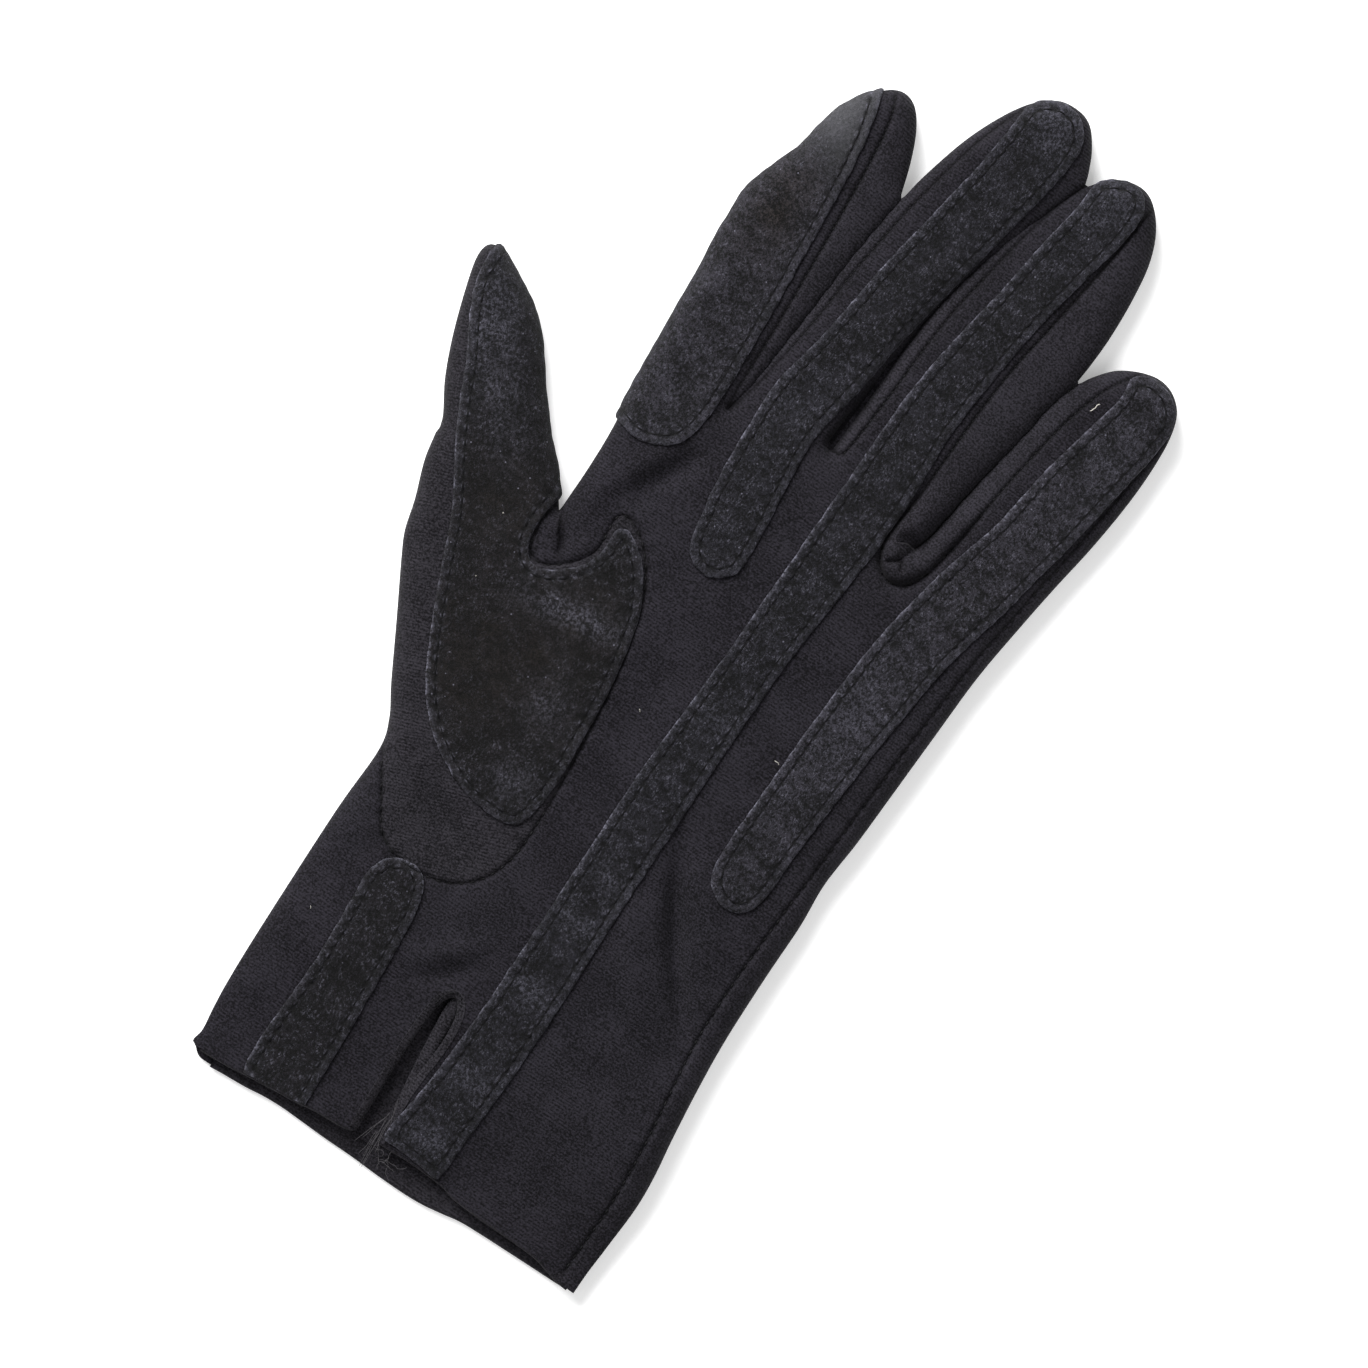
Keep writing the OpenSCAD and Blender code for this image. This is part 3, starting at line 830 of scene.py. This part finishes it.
# ---------------------------------------------------------------- materials
class Material:
    """A material and short ways to add nodes to it. A value is a number, a colour or a node's output."""

    def __init__(self, name):
        self.material = bpy.data.materials.new(name)
        self.material.use_nodes = True
        self.tree = self.material.node_tree
        self.shader = self.tree.nodes["Principled BSDF"]
        self.place = self.tree.nodes.new("ShaderNodeTexCoord").outputs["Object"]

    def give(self, socket, value):
        """Sets an input, or links it to another node's output."""
        if isinstance(value, bpy.types.NodeSocket):
            self.tree.links.new(value, socket)
        else:
            socket.default_value = value

    def node(self, kind, **values):
        """A new node. In the names of its inputs _ stands for a space."""
        made = self.tree.nodes.new("ShaderNode" + kind)
        for name, value in values.items():
            self.give(made.inputs[name.replace("_", " ")], value)
        return made

    def scaled(self, stretch=(1, 1, 1), turn=0):
        """The place in mm, stretched and turned."""
        scale = [s / MM for s in stretch]
        return self.node("Mapping", Scale=scale, Rotation=(0, 0, turn), Vector=self.place).outputs["Vector"]

    def noise(self, size, detail=3, stretch=(1, 1, 1), turn=0, rough=0.5):
        """Noise with bumps about size mm across."""
        node = self.node("TexNoise", Scale=1 / size, Detail=detail, Roughness=rough,
                         Vector=self.scaled(stretch, turn))
        return node.outputs["Fac"]

    def ribs(self, pitch, waver, turn=0):
        """Lines across the Y direction, pitch mm apart."""
        node = self.node("TexWave", Scale=math.tau / 20 / pitch, Distortion=waver, Detail=1, Detail_Scale=1.5,
                         Vector=self.scaled(turn=turn))
        node.bands_direction = "Y"
        return node.outputs["Fac"]

    def specks(self, spacing, radius):
        """1 on small dots, about spacing mm apart and radius * spacing mm in radius."""
        near = self.node("TexVoronoi", Scale=1 / spacing, Vector=self.scaled()).outputs["Distance"]
        return self.remap(near, radius, radius * 1.5, 1.0, 0.0)

    def math(self, operation, a, b=None):
        node = self.tree.nodes.new("ShaderNodeMath")
        node.operation = operation
        self.give(node.inputs[0], a)
        if b is not None:
            self.give(node.inputs[1], b)
        return node.outputs[0]

    def times(self, a, b):
        return self.math("MULTIPLY", a, b)

    def total(self, *values):
        """The sum of the values. A pair (value, weight) is weighed first."""
        parts = [self.times(*v) if isinstance(v, tuple) else v for v in values]
        out = parts[0]
        for part in parts[1:]:
            out = self.math("ADD", out, part)
        return out

    def remap(self, value, low, high, to_low=0.0, to_high=1.0):
        """The value moved from the range low to high into another, and kept inside it."""
        node = self.node("MapRange", From_Min=low, From_Max=high, To_Min=to_low, To_Max=to_high, Value=value)
        return node.outputs["Result"]

    def mix(self, factor, a, b):
        """Colour a where factor is 0 and b where it is 1."""
        node = self.tree.nodes.new("ShaderNodeMix")
        node.data_type = "RGBA"
        self.give(node.inputs[0], factor)
        for socket, value in zip([s for s in node.inputs if s.type == "RGBA"], (a, b)):
            self.give(socket, value)
        return next(s for s in node.outputs if s.type == "RGBA")

    def attribute(self, name):
        """A number that the mesh carries at its corners."""
        node = self.tree.nodes.new("ShaderNodeAttribute")
        node.attribute_name = name
        return node.outputs["Fac"]

    def bump(self, height, depth, **below):
        """Bumps depth mm high, on top of the bumps below."""
        return self.node("Bump", Strength=1, Distance=depth * MM, Height=height, **below).outputs["Normal"]

    def finished(self, **values):
        """The material, with these values on its shader's inputs."""
        for name, value in values.items():
            self.give(self.shader.inputs[name.replace("_", " ")], value)
        return self.material


def srgb(*levels):
    """A colour from three levels of 0 to 255 as seen on a screen."""
    linear = [(c / 255 / 12.92) if c < 11 else (((c / 255) + 0.055) / 1.055) ** 2.4 for c in levels]
    return (*linear, 1)


def knit(name, dark, light, turn=0.0, rib_depth=0.06):
    """Fine-ribbed stretch jersey, darker along its seams, with painted shade under its folds."""
    look = Material(name)
    ribs = look.ribs(0.63, 1.2, turn)
    speckle = look.noise(0.38, 2, rough=0.7)
    cloud = look.noise(9, 3)
    fibre = look.noise(0.5, 2, (0.35, 1.6, 1), turn)
    level = look.total((ribs, look.remap(cloud, 0.42, 0.62, 0.04, 0.28)), (speckle, 3.2),
                    (look.math("SUBTRACT", cloud, 0.5), 0.25))
    colour = look.mix(look.remap(level, 1.34, 2.02), dark, light)
    # near-black along the seam lines, and painted shade under folds, both from the seam attribute
    colour = look.mix(look.attribute("seam"), colour, srgb(4, 3, 5))
    return look.finished(
        Base_Color=colour, Roughness=look.remap(speckle, 0.3, 0.7, 0.8, 0.97),
        Normal=look.bump(look.total(ribs, (fibre, 1.2)), rib_depth, Normal=look.bump(cloud, 0.35)),
        Specular_IOR_Level=0.1, Sheen_Weight=0.03, Sheen_Roughness=0.5)


def suede(name, dark, light, brown, pale, crackle=0.6):
    """Napped leather: mottled, browner, paler and worn flat where its corners say so, with a pale worn rim
    that carries a painted highlight on edges that face the light.
    """
    look = Material(name)
    grain = look.noise(0.3, 2, rough=0.7)
    nap = look.noise(0.6, 5, (1, 0.9, 1), 0.4, 0.78)
    crease = look.noise(2.2, 5, (0.8, 1.2, 1), 0.3, 0.7)
    patch = look.noise(6, 3)
    cracks = look.math("ABSOLUTE", look.math("SUBTRACT", look.noise(2.2, 6, (0.8, 1.25, 1), 0, 0.72), 0.5))
    level = look.total((patch, 0.35), (nap, 1.2), (crease, 0.5), (grain, 0.7))
    colour = look.mix(look.remap(level, 1.3, 1.47), dark, light)
    fine = look.remap(look.noise(0.4, 4, (1, 0.6, 1), 0.7, 0.85), 0.53, 0.61)
    fibres = look.times(fine, look.remap(crease, 0.42, 0.6, 0.15, 1.0))
    colour = look.mix(look.times(fibres, 0.5), colour, pale)
    colour = look.mix(look.remap(cracks, 0.0, 0.03, crackle, 0.0), colour, srgb(5, 5, 6))
    earth = look.mix(look.remap(level, 1.3, 1.5), srgb(9, 8, 7), brown)
    colour = look.mix(look.attribute("brown"), colour, earth)
    rubbed = look.mix(look.remap(nap, 0.36, 0.64), srgb(60, 60, 63), srgb(82, 82, 86))
    colour = look.mix(look.attribute("bare"), colour, rubbed)
    worn = look.times(look.attribute("wear"), look.remap(nap, 0.48, 0.6, 0.1, 1.8))
    # pale rim along suede edges: fraying wear, and a painted highlight where an edge faces the light
    ragged_rim = look.remap(look.noise(0.8, 4, rough=0.75), 0.43, 0.6, 0.05, 1.6)
    rim = look.times(look.attribute("edge_wear_and_highlight"), ragged_rim)
    pores = look.times(look.specks(2.1, 0.055), look.remap(patch, 0.45, 0.6, 0.1, 0.9))
    colour = look.mix(look.total(worn, pores, rim), colour, pale)
    colour = look.mix(look.attribute("dents"), colour, srgb(4, 4, 5))
    uneven = look.bump(look.total(nap, (crease, 1.2)), 0.5)
    return look.finished(
        Base_Color=colour, Roughness=look.remap(nap, 0.3, 0.7, 0.8, 0.98),
        Normal=look.bump(grain, 0.2, Normal=uneven),
        Specular_IOR_Level=0.1, Sheen_Weight=0.04, Sheen_Roughness=0.6)


def thread(name, dark, light):
    """Twisted sewing thread."""
    look = Material(name)
    twist = look.noise(0.22, 2)
    return look.finished(Base_Color=look.mix(twist, dark, light), Roughness=look.remap(twist, 0, 1, 0.5, 0.8),
                      Normal=look.bump(twist, 0.05), Specular_IOR_Level=0.15)


cloth_look = knit("knit", srgb(9, 8, 11), srgb(38, 36, 42))
side_look = knit("knit_sides", srgb(13, 12, 15), srgb(41, 39, 45), 0.15)
thumb_look = knit("knit_thumb", srgb(11, 10, 13), srgb(43, 41, 46), math.radians(-20), 0.05)
hem_look = knit("knit_hem", srgb(12, 11, 14), srgb(44, 42, 47))
PALE = srgb(107, 106, 119)
light_suede = suede("suede_light", srgb(7, 7, 8), srgb(46, 44, 51), srgb(52, 46, 44), PALE)
middle_suede = suede("suede_middle", srgb(5, 5, 6), srgb(32, 31, 37), srgb(30, 26, 25), PALE)
dark_suede = suede("suede_dark", srgb(4, 4, 4), srgb(26, 24, 28), srgb(28, 24, 22), PALE, 0.95)
suede_looks = {"index": light_suede, "little": light_suede, "middle": middle_suede, "ring": middle_suede,
               "thumb": dark_suede, "wrist": dark_suede}
thread_look = thread("thread", srgb(4, 4, 5), srgb(16, 15, 18))
fray_look = thread("fray", srgb(45, 43, 46), srgb(95, 93, 96))
lint_look = thread("lint", srgb(150, 145, 135), srgb(225, 222, 215))

# ---------------------------------------------------------------- cloth pieces
xy = shell[:, :2]


def seam_shade():
    """How dark the cloth is painted at each corner of the shell: a dark line along its seams, and painted
    shade under its folds.
    """
    dark = np.zeros(len(shell))
    uneven = 0.85 + 0.15 * ripple(xy, 1.4, 31)
    for name, near in near_seam.items():
        gap, along = near(xy)
        deep = 0.35 if name in STRONG_SEAMS else 0.2
        strength = shown(xy) * (1 - deep - deep * np.cos(math.tau * along / SEAM_PITCH))
        dark = np.maximum(dark, uneven * strength * hump(gap, 0.33))
    # painted shade under folds of the cloth, carried in the seam attribute together with the seam lines
    for line, wide, much in SHADES:
        near = Nearest(curve(line))
        gap, along = near(xy)
        ends = ease(np.minimum(along, near.run[-1] - along) / 1.5 + 0.25)
        dark = np.maximum(dark, much * ends * hump(gap, wide))
    return dark * np.isin(np.arange(len(shell)), faces[~on_back])


seam_line_and_painted_shade = seam_shade()
under = np.full(len(shell), -CLOTH)
flush = np.zeros(len(shell))


def knit_piece(nodes, chosen, stretch, look=cloth_look):
    """A piece of cloth from the chosen faces of the shell, in the place of these CAD nodes."""
    # its seam attribute holds the dark seam lines and the painted shade under folds
    obj = slab(nodes[0] + "_knit", faces[chosen], shell_way, under, flush, look, {"seam": seam_line_and_painted_shade})
    attach(obj, stretch)
    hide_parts(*nodes)


hand = face_stretch == 0
knit_piece(["palm_panel"], hand & ~on_back & ~in_side & ~in_gusset, 0)
knit_piece(["back_panel"], hand & on_back, 0)
knit_piece(["palm_sides"], hand & in_side & ~in_gusset, 0, side_look)
knit_piece(["thumb_gusset"], hand & in_gusset, 0, thumb_look)
for i, f in enumerate(FINGERS):
    for stretch, part in ((1, "base"), (2, "tip")):
        mine = (face_stretch == stretch) & (face_finger == i)
        look = thumb_look if f == "thumb" else cloth_look
        stem = f"{f}_{part}"
        if f == "thumb":
            knit_piece([stem + "_palm", stem + "_sides"], mine & ~on_back, stretch, look)
        else:
            knit_piece([stem + "_palm"], mine & ~on_back & ~in_side, stretch, look)
            knit_piece([stem + "_sides"], mine & in_side, stretch, side_look)
        knit_piece([stem + "_back"], mine & on_back, stretch, look)

# ---------------------------------------------------------------- suede pieces
SUEDE_NODES = {"wrist": ["wrist_strip"]}
for f, root in zip(FINGERS, ("thumb_patch", "index_patch", "middle_strip", "long_strip", "little_strip")):
    SUEDE_NODES[f] = [root + "_root", f + "_base_suede", f + "_tip_suede"]
# Paler rubbed areas: centre x, y, half widths along and across, turn in degrees, strength
SCUFFS = [
    (-27, 105.5, 9, 2.6, 10, 0.30), (-22, 88, 3.5, 5, 0, 0.14), (-20, 73, 4, 4, 0, 0.16),
    (5, 9, 5, 2.5, 0, 0.16), (5, 22, 5, 2, 0, 0.2), (5, 42, 5, 2.5, 0, 0.2), (5, 58, 5, 2, 0, 0.15),
    (5, 68, 5, 2, 0, 0.14), (6, 105, 5, 3, 0, 0.10), (27, 120, 5, 12, 0, 0.13), (41, 184, 4, 9, 0, 0.08),
    (-35, 150, 4, 8, 0, 0.05), (-70, 143, 4, 9, 32, 0.22), (-2, 231, 5, 5, 0, 0.20),
    (14, 224, 5, 5, 0, 0.12), (-14, 160, 3, 8, 0, 0.05), (-60, 131, 4, 10, 40, 0.10),
]
BARE = [(-36, 211, 5, 9, 20, 0.8), (-33.5, 219, 3, 3, 0, 0.3)]
# Where a suede edge's pale rim, its wear and painted highlight, is turned down, written as above
QUIET_EDGES = [(-30.5, 119, 4, 7, 0, 0.85)]
BROWNS = [
    (-37, 190, 4.5, 9, 0, 0.6), (-36, 88, 17, 15, 0, 0.7), (-50, 115, 12, 9, 0, 0.55),
    (-25, 106, 9, 9, 0, 0.5),
]


def blots(points, places):
    """How strong soft-edged blots are at the points, together."""
    total = np.zeros(len(points))
    for x, y, wide, long, turn, strength in places:
        cos, sin = math.cos(math.radians(turn)), math.sin(math.radians(turn))
        off_x, off_y = points[:, 0] - x, points[:, 1] - y
        across, along = off_x * cos + off_y * sin, -off_x * sin + off_y * cos
        total += strength * np.exp(-((across / wide) ** 2) - (along / long) ** 2)
    return total


def on_shell(used, values, elsewhere=0.0):
    """Values for all corners of the shell: these at the used ones, and elsewhere the same number."""
    out = np.full(len(shell), elsewhere)
    out[used] = values
    return out


def suede_faces(name):
    """Which faces of the shell a piece of suede covers."""
    chosen = inside(centre, suede_areas[name])
    hidden = on_back
    if name in WRAPPED:
        used = np.unique(faces[chosen])
        reach = on_shell(used, near_fold(xy[used])[0])
        hidden = on_back & (reach[faces].max(1) >= WRAP + 0.02)
    return chosen & ~hidden


wear = np.clip(blots(xy, SCUFFS) * (1 + 0.6 * ripple(xy, 3, 11)), 0, 1)
bare = np.clip(blots(xy, BARE), 0, 1)
brown = np.clip(blots(xy, BROWNS) * (1 + 0.4 * ripple(xy, 4, 12)), 0, 1)
for name in SUEDE_NAMES:
    chosen = suede_faces(name)
    used = np.unique(faces[chosen])
    spots = xy[used]
    edge_gap, edge_run = near_suede[name](spots)
    stitch_gap, along = near_stitches[name](spots)
    phase = np.cos(math.tau * along / STITCH_PITCH)
    high = SUEDE * (0.6 + 0.4 * round_up(edge_gap / RIM)) + 0.07 * ripple(spots, 1.7, 21)
    high += 0.08 * ripple(spots, 5, 24)
    high -= hump(stitch_gap, 0.4) * (DENT_DEEP + 0.05 * phase)
    frayed = np.clip(0.4 + 0.8 * ripple(spots, 1.8, 22) + 0.5 * ripple(spots, 14, 23), 0, 1)
    # Painted highlight: the pale worn rim is made brighter on edges that face the main light
    outward = -inner_side(name) * normals_of(near_suede[name].line) @ TO_LIGHT
    facing = np.interp(edge_run, near_suede[name].run, outward)
    edge_wear_and_highlight = frayed * (0.4 + 0.5 * ease(0.5 + facing)) * hump(edge_gap, 0.24)
    edge_wear_and_highlight *= 1 - blots(spots, QUIET_EDGES)
    edge_wear_and_highlight += 0.08 * hump(edge_gap, 1.1)
    edge_wear_and_highlight += 0.7 * hump(stitch_gap, 0.35) * np.clip(-phase, 0, 1) ** 3
    dents = hump(stitch_gap, 0.34) * ease(0.5 + phase)
    values = {"wear": wear, "edge_wear_and_highlight": on_shell(used, edge_wear_and_highlight), "brown": brown, "bare": bare,
              "dents": on_shell(used, dents)}
    for stretch, node in enumerate(SUEDE_NODES[name]):
        mine = chosen & (face_stretch == stretch)
        if stretch:
            mine &= face_finger == FINGERS.index(name)
        obj = slab(node + "_leather", faces[mine], calm_way, flush + 0.02, on_shell(used, high, SUEDE),
                   suede_looks[name], values)
        attach(obj, stretch)
        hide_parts(node)


# ---------------------------------------------------------------- stitches
def surface(points):
    """Places on the cloth's palm side, and the way out from it there."""
    points = np.asarray(points, float)
    step = 0.15
    z = palm_height(points)
    slope_x = (palm_height(points + [step, 0]) - z) / step
    slope_y = (palm_height(points + [0, step]) - z) / step
    way = np.column_stack([-slope_x, -slope_y, np.ones(len(z))])
    return np.column_stack([points, z]), way / np.linalg.norm(way, axis=1)[:, None]


def tube_faces(first, rings, sides):
    """The faces of a closed tube whose corners, ring after ring, start at number first."""
    solid = []
    for ring in range(first, first + (rings - 1) * sides, sides):
        for k in range(sides):
            a, b = ring + k, ring + (k + 1) % sides
            solid.append([a, b, b + sides, a + sides])
    last = first + (rings - 1) * sides
    return solid + [list(range(first, first + sides))[::-1], list(range(last, last + sides))]


def tubes(paths, ways, radius, sides=6, taper=0.45):
    """Closed tubes along paths: an array (tube, place, xyz), with ways out of the surface."""
    count, rings, _ = paths.shape
    run = np.gradient(paths, axis=1)
    run /= np.linalg.norm(run, axis=2)[:, :, None]
    across = np.cross(ways, run)
    across /= np.linalg.norm(across, axis=2)[:, :, None]
    up = np.cross(run, across)
    size = np.full(rings, radius)
    size[[0, -1]] *= taper
    out = []
    for k in range(sides):
        angle = math.tau * k / sides
        out.append(paths + (across * math.cos(angle) + up * math.sin(angle)) * size[None, :, None])
    places = np.stack(out, axis=2).reshape(-1, 3)
    solid = [face for t in range(count) for face in tube_faces(t * rings * sides, rings, sides)]
    return places, solid


SINK = (-0.3, 0, 0.07, 0, -0.3)    # height along one stitch, whose ends go down into the cloth


def dashes(line, pitch, long, lift, jitter):
    """Paths, ways and middles of stitches along a line that lies lift above the cloth."""
    run = run_of(line)
    middles = np.arange(pitch * 0.5, run[-1] - long * 0.5, pitch)
    middles = middles + RANDOM.normal(0, jitter, len(middles))
    held = places_at(line, run, middles)
    middles = middles[inside(held, palm_outline) & (near_fold(held)[0] > 1.2) & (near_mouth(held)[0] > 1.5)
                      & (shown(held) > 0.5)]
    steps = np.linspace(-0.5, 0.5, len(SINK)) * long
    places, ways = surface(places_at(line, run, (middles[:, None] + steps).ravel()))
    places = places + ways * (lift + np.tile(SINK, len(middles)))[:, None]
    shape = (len(middles), len(SINK), 3)
    return places.reshape(shape), ways.reshape(shape), places_at(line, run, middles)


def sew(name, lines, radius, *sizes):
    """Stitches along lines, as a separate piece on each stretch of each finger."""
    paths, ways, middles = (np.concatenate(part) for part in zip(*[dashes(line, *sizes) for line in lines]))
    stretch, number = stretch_of(middles)
    parts = [(name + "_root", None, 0, stretch == 0)]
    for k, part in ((1, "base"), (2, "tip")):
        for i, f in enumerate(FINGERS):
            parts.append((f"{name}_{f}_{part}", f, k, (stretch == k) & (number == i)))
    for who, f, k, mine in parts:
        if mine.any():
            places, solid = tubes(paths[mine], ways[mine], radius)
            attach(new_object(who, places, solid, thread_look), k)


WRIST_ROW = [(-31.2, 9.6), (-25, 9.3), (-20.6, 9.5)]    # a second row, across the wrist strip
VENT_TACK = [(-8.9, 30.5), (-8.2, 33), (-6.4, 34.6), (-4.6, 33.4), (-3.6, 30.5)]
# Radius of the thread, pitch, length of a stitch, height above the cloth, and unevenness of the pitch
SUEDE_SEWING = (0.17, STITCH_PITCH, 1.95, SUEDE - 0.06, 0.08)
STRONG_SEWING = (0.19, SEAM_PITCH, 1.35, 0.06, 0.04)
FINE_SEWING = (0.14, 1.3, 1.05, 0.0, 0.08)
TACK_SEWING = (0.13, 0.75, 0.6, 0.12, 0.08)
for name in SUEDE_NAMES:
    rows = [stitch_lines[name]] + ([curve(WRIST_ROW)] if name == "wrist" else [])
    sew(name + "_stitches", rows, *SUEDE_SEWING)
for name, line in seams.items():
    sew(name + "_seam", [line], *(STRONG_SEWING if name in STRONG_SEAMS else FINE_SEWING))
sew("vent_tack", [curve(VENT_TACK)], *TACK_SEWING)

# ---------------------------------------------------------------- hems
CUFF_SIDES = (-41.8, 41.6)    # the hems stay between these x


def band(name, nodes, lines, height, profile, out=1):
    """Closed bands along lines. profile is their section: distances in from the line, and heights over it."""
    places, solid = [], []
    for line in lines:
        line = resample(line, 0.8)
        inward = normals_of(line) * out
        solid += tube_faces(sum(map(len, places)), len(line), len(profile))
        section = []
        for inset, lift in profile:
            spots = line + inward * inset
            if inset > 0.3:
                spots[:, 0] = np.clip(spots[:, 0], *CUFF_SIDES)
            section.append(np.column_stack([spots, np.maximum(height(spots) + lift, LOWEST)]))
        places.append(np.stack(section, axis=1).reshape(-1, 3))
    obj = new_object(name, np.vstack(places), solid, hem_look)
    face_outwards(obj)
    attach(obj, 0)
    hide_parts(*nodes)


def face_outwards(obj):
    """Turns every face of a closed mesh outwards."""
    work = bmesh.new()
    work.from_mesh(obj.data)
    bmesh.ops.recalc_face_normals(work, faces=work.faces)
    work.to_mesh(obj.data)
    work.free()


def nose(radius, wide, thick, sign):
    """The section of a hem: a round fold at the mouth and a layer of cloth inside."""
    turns = np.linspace(math.pi / 2, math.pi * 1.5, 8)
    arc = [(0.25 + radius * math.cos(t), sign * (radius * math.sin(t) - radius)) for t in turns]
    return arc + [(wide, sign * -2 * radius), (wide, sign * -(2 * radius - thick))]


band("palm_hem_cloth", ["palm_hem"], [curve(PALM_HEM_RIGHT)[2:], curve(PALM_HEM_LEFT)[:-3]],
     palm_height, nose(0.7, 9, 0.6, 1), -1)
band("back_hem_cloth", ["back_hem"], [curve(BACK_HEM)[4:-8]], back_height, nose(0.7, 10, 0.6, -1), -1)
VENT_SECTION = [
    (1.3, -0.15), (1.1, 0.16), (0.3, 0.24), (-0.2, 0.05), (-0.4, -0.4), (-0.2, -1.0), (0.3, -1.35),
    (2.2, -1.45), (2.2, -0.75), (0.5, -0.7),
]
TURNING = [(-6.6, 33.6), (-6.9, 31), (-6.6, 27), (-5.9, 20), (-5, 13), (-4.4, 8), (-3.9, 4), (-3.5, 1)]
TURNING_SECTION = [(0, -1.35), (0.3, -1.0), (2.0, -0.9), (3.0, -1.2), (3.0, -1.6), (0.3, -1.6)]
UNDERLAY = [(-9.4, 33), (-9.6, 20), (-9.4, 8), (-9.2, 1.2)]
UNDERLAY_SECTION = [(0, -2.9), (1, -2.7), (3, -2.6), (5, -2.6), (6.6, -2.8), (6.6, -3.2), (3, -3.1)]
band("vent_edge_cloth", ["vent_edge"], [curve(VENT)], palm_height, VENT_SECTION, -1)
band("vent_turning_cloth", [], [curve(TURNING)], palm_height, TURNING_SECTION)
band("vent_underlay_cloth", [], [curve(UNDERLAY)], palm_height, UNDERLAY_SECTION)

# ---------------------------------------------------------------- lint and loose threads
BENDS = 8    # in a loose thread


def wander(start, way, long, curl, height):
    """A curly thread, lying up to about height above the cloth."""
    steps = [np.array(start, float)]
    angle = math.atan2(way[1], way[0])
    for _ in range(BENDS):
        angle += RANDOM.normal(0, curl)
        steps.append(steps[-1] + long / BENDS * np.array([math.cos(angle), math.sin(angle)]))
    places, ways = surface(np.array(steps))
    rise = np.linspace(0, 1, BENDS + 1) * RANDOM.uniform(0, 1) * height
    return places + ways * (height * 0.3 + rise)[:, None], ways


def threads(name, starts, radius, look, stretch=0):
    """Loose threads as one piece; each start is (place, way, length, curl, height)."""
    paths, ways = (np.array(part) for part in zip(*[wander(*start) for start in starts]))
    places, solid = tubes(paths, ways, radius, 5, 0.6)
    attach(new_object(name, places, solid, look), stretch)


frayed = [((RANDOM.uniform(-4.9, -3.7), RANDOM.uniform(3, 12)), (RANDOM.normal(0.1, 0.05), -1),
           RANDOM.uniform(5, 10), 0.09, RANDOM.uniform(0.1, 0.6)) for _ in range(14)]
frayed += [((RANDOM.uniform(-2.4, 0.5), RANDOM.uniform(-0.5, 1)), (1, RANDOM.normal(0.2, 0.6)),
            RANDOM.uniform(1.5, 4), 0.5, RANDOM.uniform(0.1, 0.6)) for _ in range(8)]
threads("cuff_threads", frayed, 0.035, fray_look)
# Specks of lint: x, y, length
LINT = [
    (-38, 32.5, 0.5), (-7, 97, 0.6), (-9.5, 138, 1.6), (-7.5, 202.5, 0.5), (-4.8, 212, 0.6),
    (-33, 173.5, 0.5), (20, 103, 1.2), (-46.5, 101, 0.4), (-49, 114, 0.5), (32.1, 190.2, 2.2),
]
for i, (x, y, long) in enumerate(LINT):
    stretch, number = stretch_of(np.array([[x, y]]))
    speck = [((x, y), (0.4, 1), long, 0.35, 0.9)]
    threads(f"lint_{i + 1}", speck, 0.09, lint_look, stretch[0])

# ---------------------------------------------------------------- floor, light, camera
floor_material = Material("floor").finished(
    Base_Color=(0.93, 0.93, 0.93, 1), Roughness=0.9, Emission_Color=(1, 1, 1, 1), Emission_Strength=0.3)
mesh = bpy.data.meshes.new("floor")
mesh.from_pydata([(-2, -2, 0), (2, -2, 0), (2, 2, 0), (-2, 2, 0)], [], [(0, 1, 2, 3)])
mesh.materials.append(floor_material)
floor = bpy.data.objects.new("floor", mesh)
bpy.context.collection.objects.link(floor)

AIM = Vector((-0.0030, 0.1059, 0.005))    # what the camera looks at, in metres
TURN = math.radians(33.5)                 # how far the glove is turned in the picture
EYE_HEIGHT = 1.0                          # of the camera above it
VIEW_WIDE = 0.2558                        # what the picture takes in
SENSOR = 36


def softbox(name, place, size, watts):
    """A square lamp that faces the glove."""
    data = bpy.data.lights.new(name, "AREA")
    data.shape = "SQUARE"
    data.size = size
    data.energy = watts
    lamp = bpy.data.objects.new(name, data)
    lamp.location = place
    lamp.rotation_euler = (AIM - Vector(place)).to_track_quat("-Z", "Y").to_euler()
    bpy.context.collection.objects.link(lamp)


image_up = Vector((-math.sin(TURN), math.cos(TURN), 0))
image_right = Vector((math.cos(TURN), math.sin(TURN), 0))
softbox("key", AIM + image_up * 1.0 - image_right * 0.5 + Vector((0, 0, 0.8)), 0.9, 40)
softbox("fill", AIM - image_up * 0.6 + image_right * 0.5 + Vector((0, 0, 1.3)), 1.0, 6)
world = bpy.data.worlds.new("world")
world.use_nodes = True
background = world.node_tree.nodes["Background"].inputs
background["Color"].default_value = (1, 1, 1, 1)
background["Strength"].default_value = 0.34
bpy.context.scene.world = world
bpy.context.scene.view_settings.view_transform = "Standard"

camera = bpy.data.cameras.new("camera")
camera.sensor_width = SENSOR
camera.lens = SENSOR * EYE_HEIGHT / VIEW_WIDE
eye = bpy.data.objects.new("camera", camera)
eye.location = AIM + Vector((0, 0, EYE_HEIGHT))
eye.rotation_euler = (0, 0, TURN)
bpy.context.collection.objects.link(eye)
bpy.context.scene.camera = eye
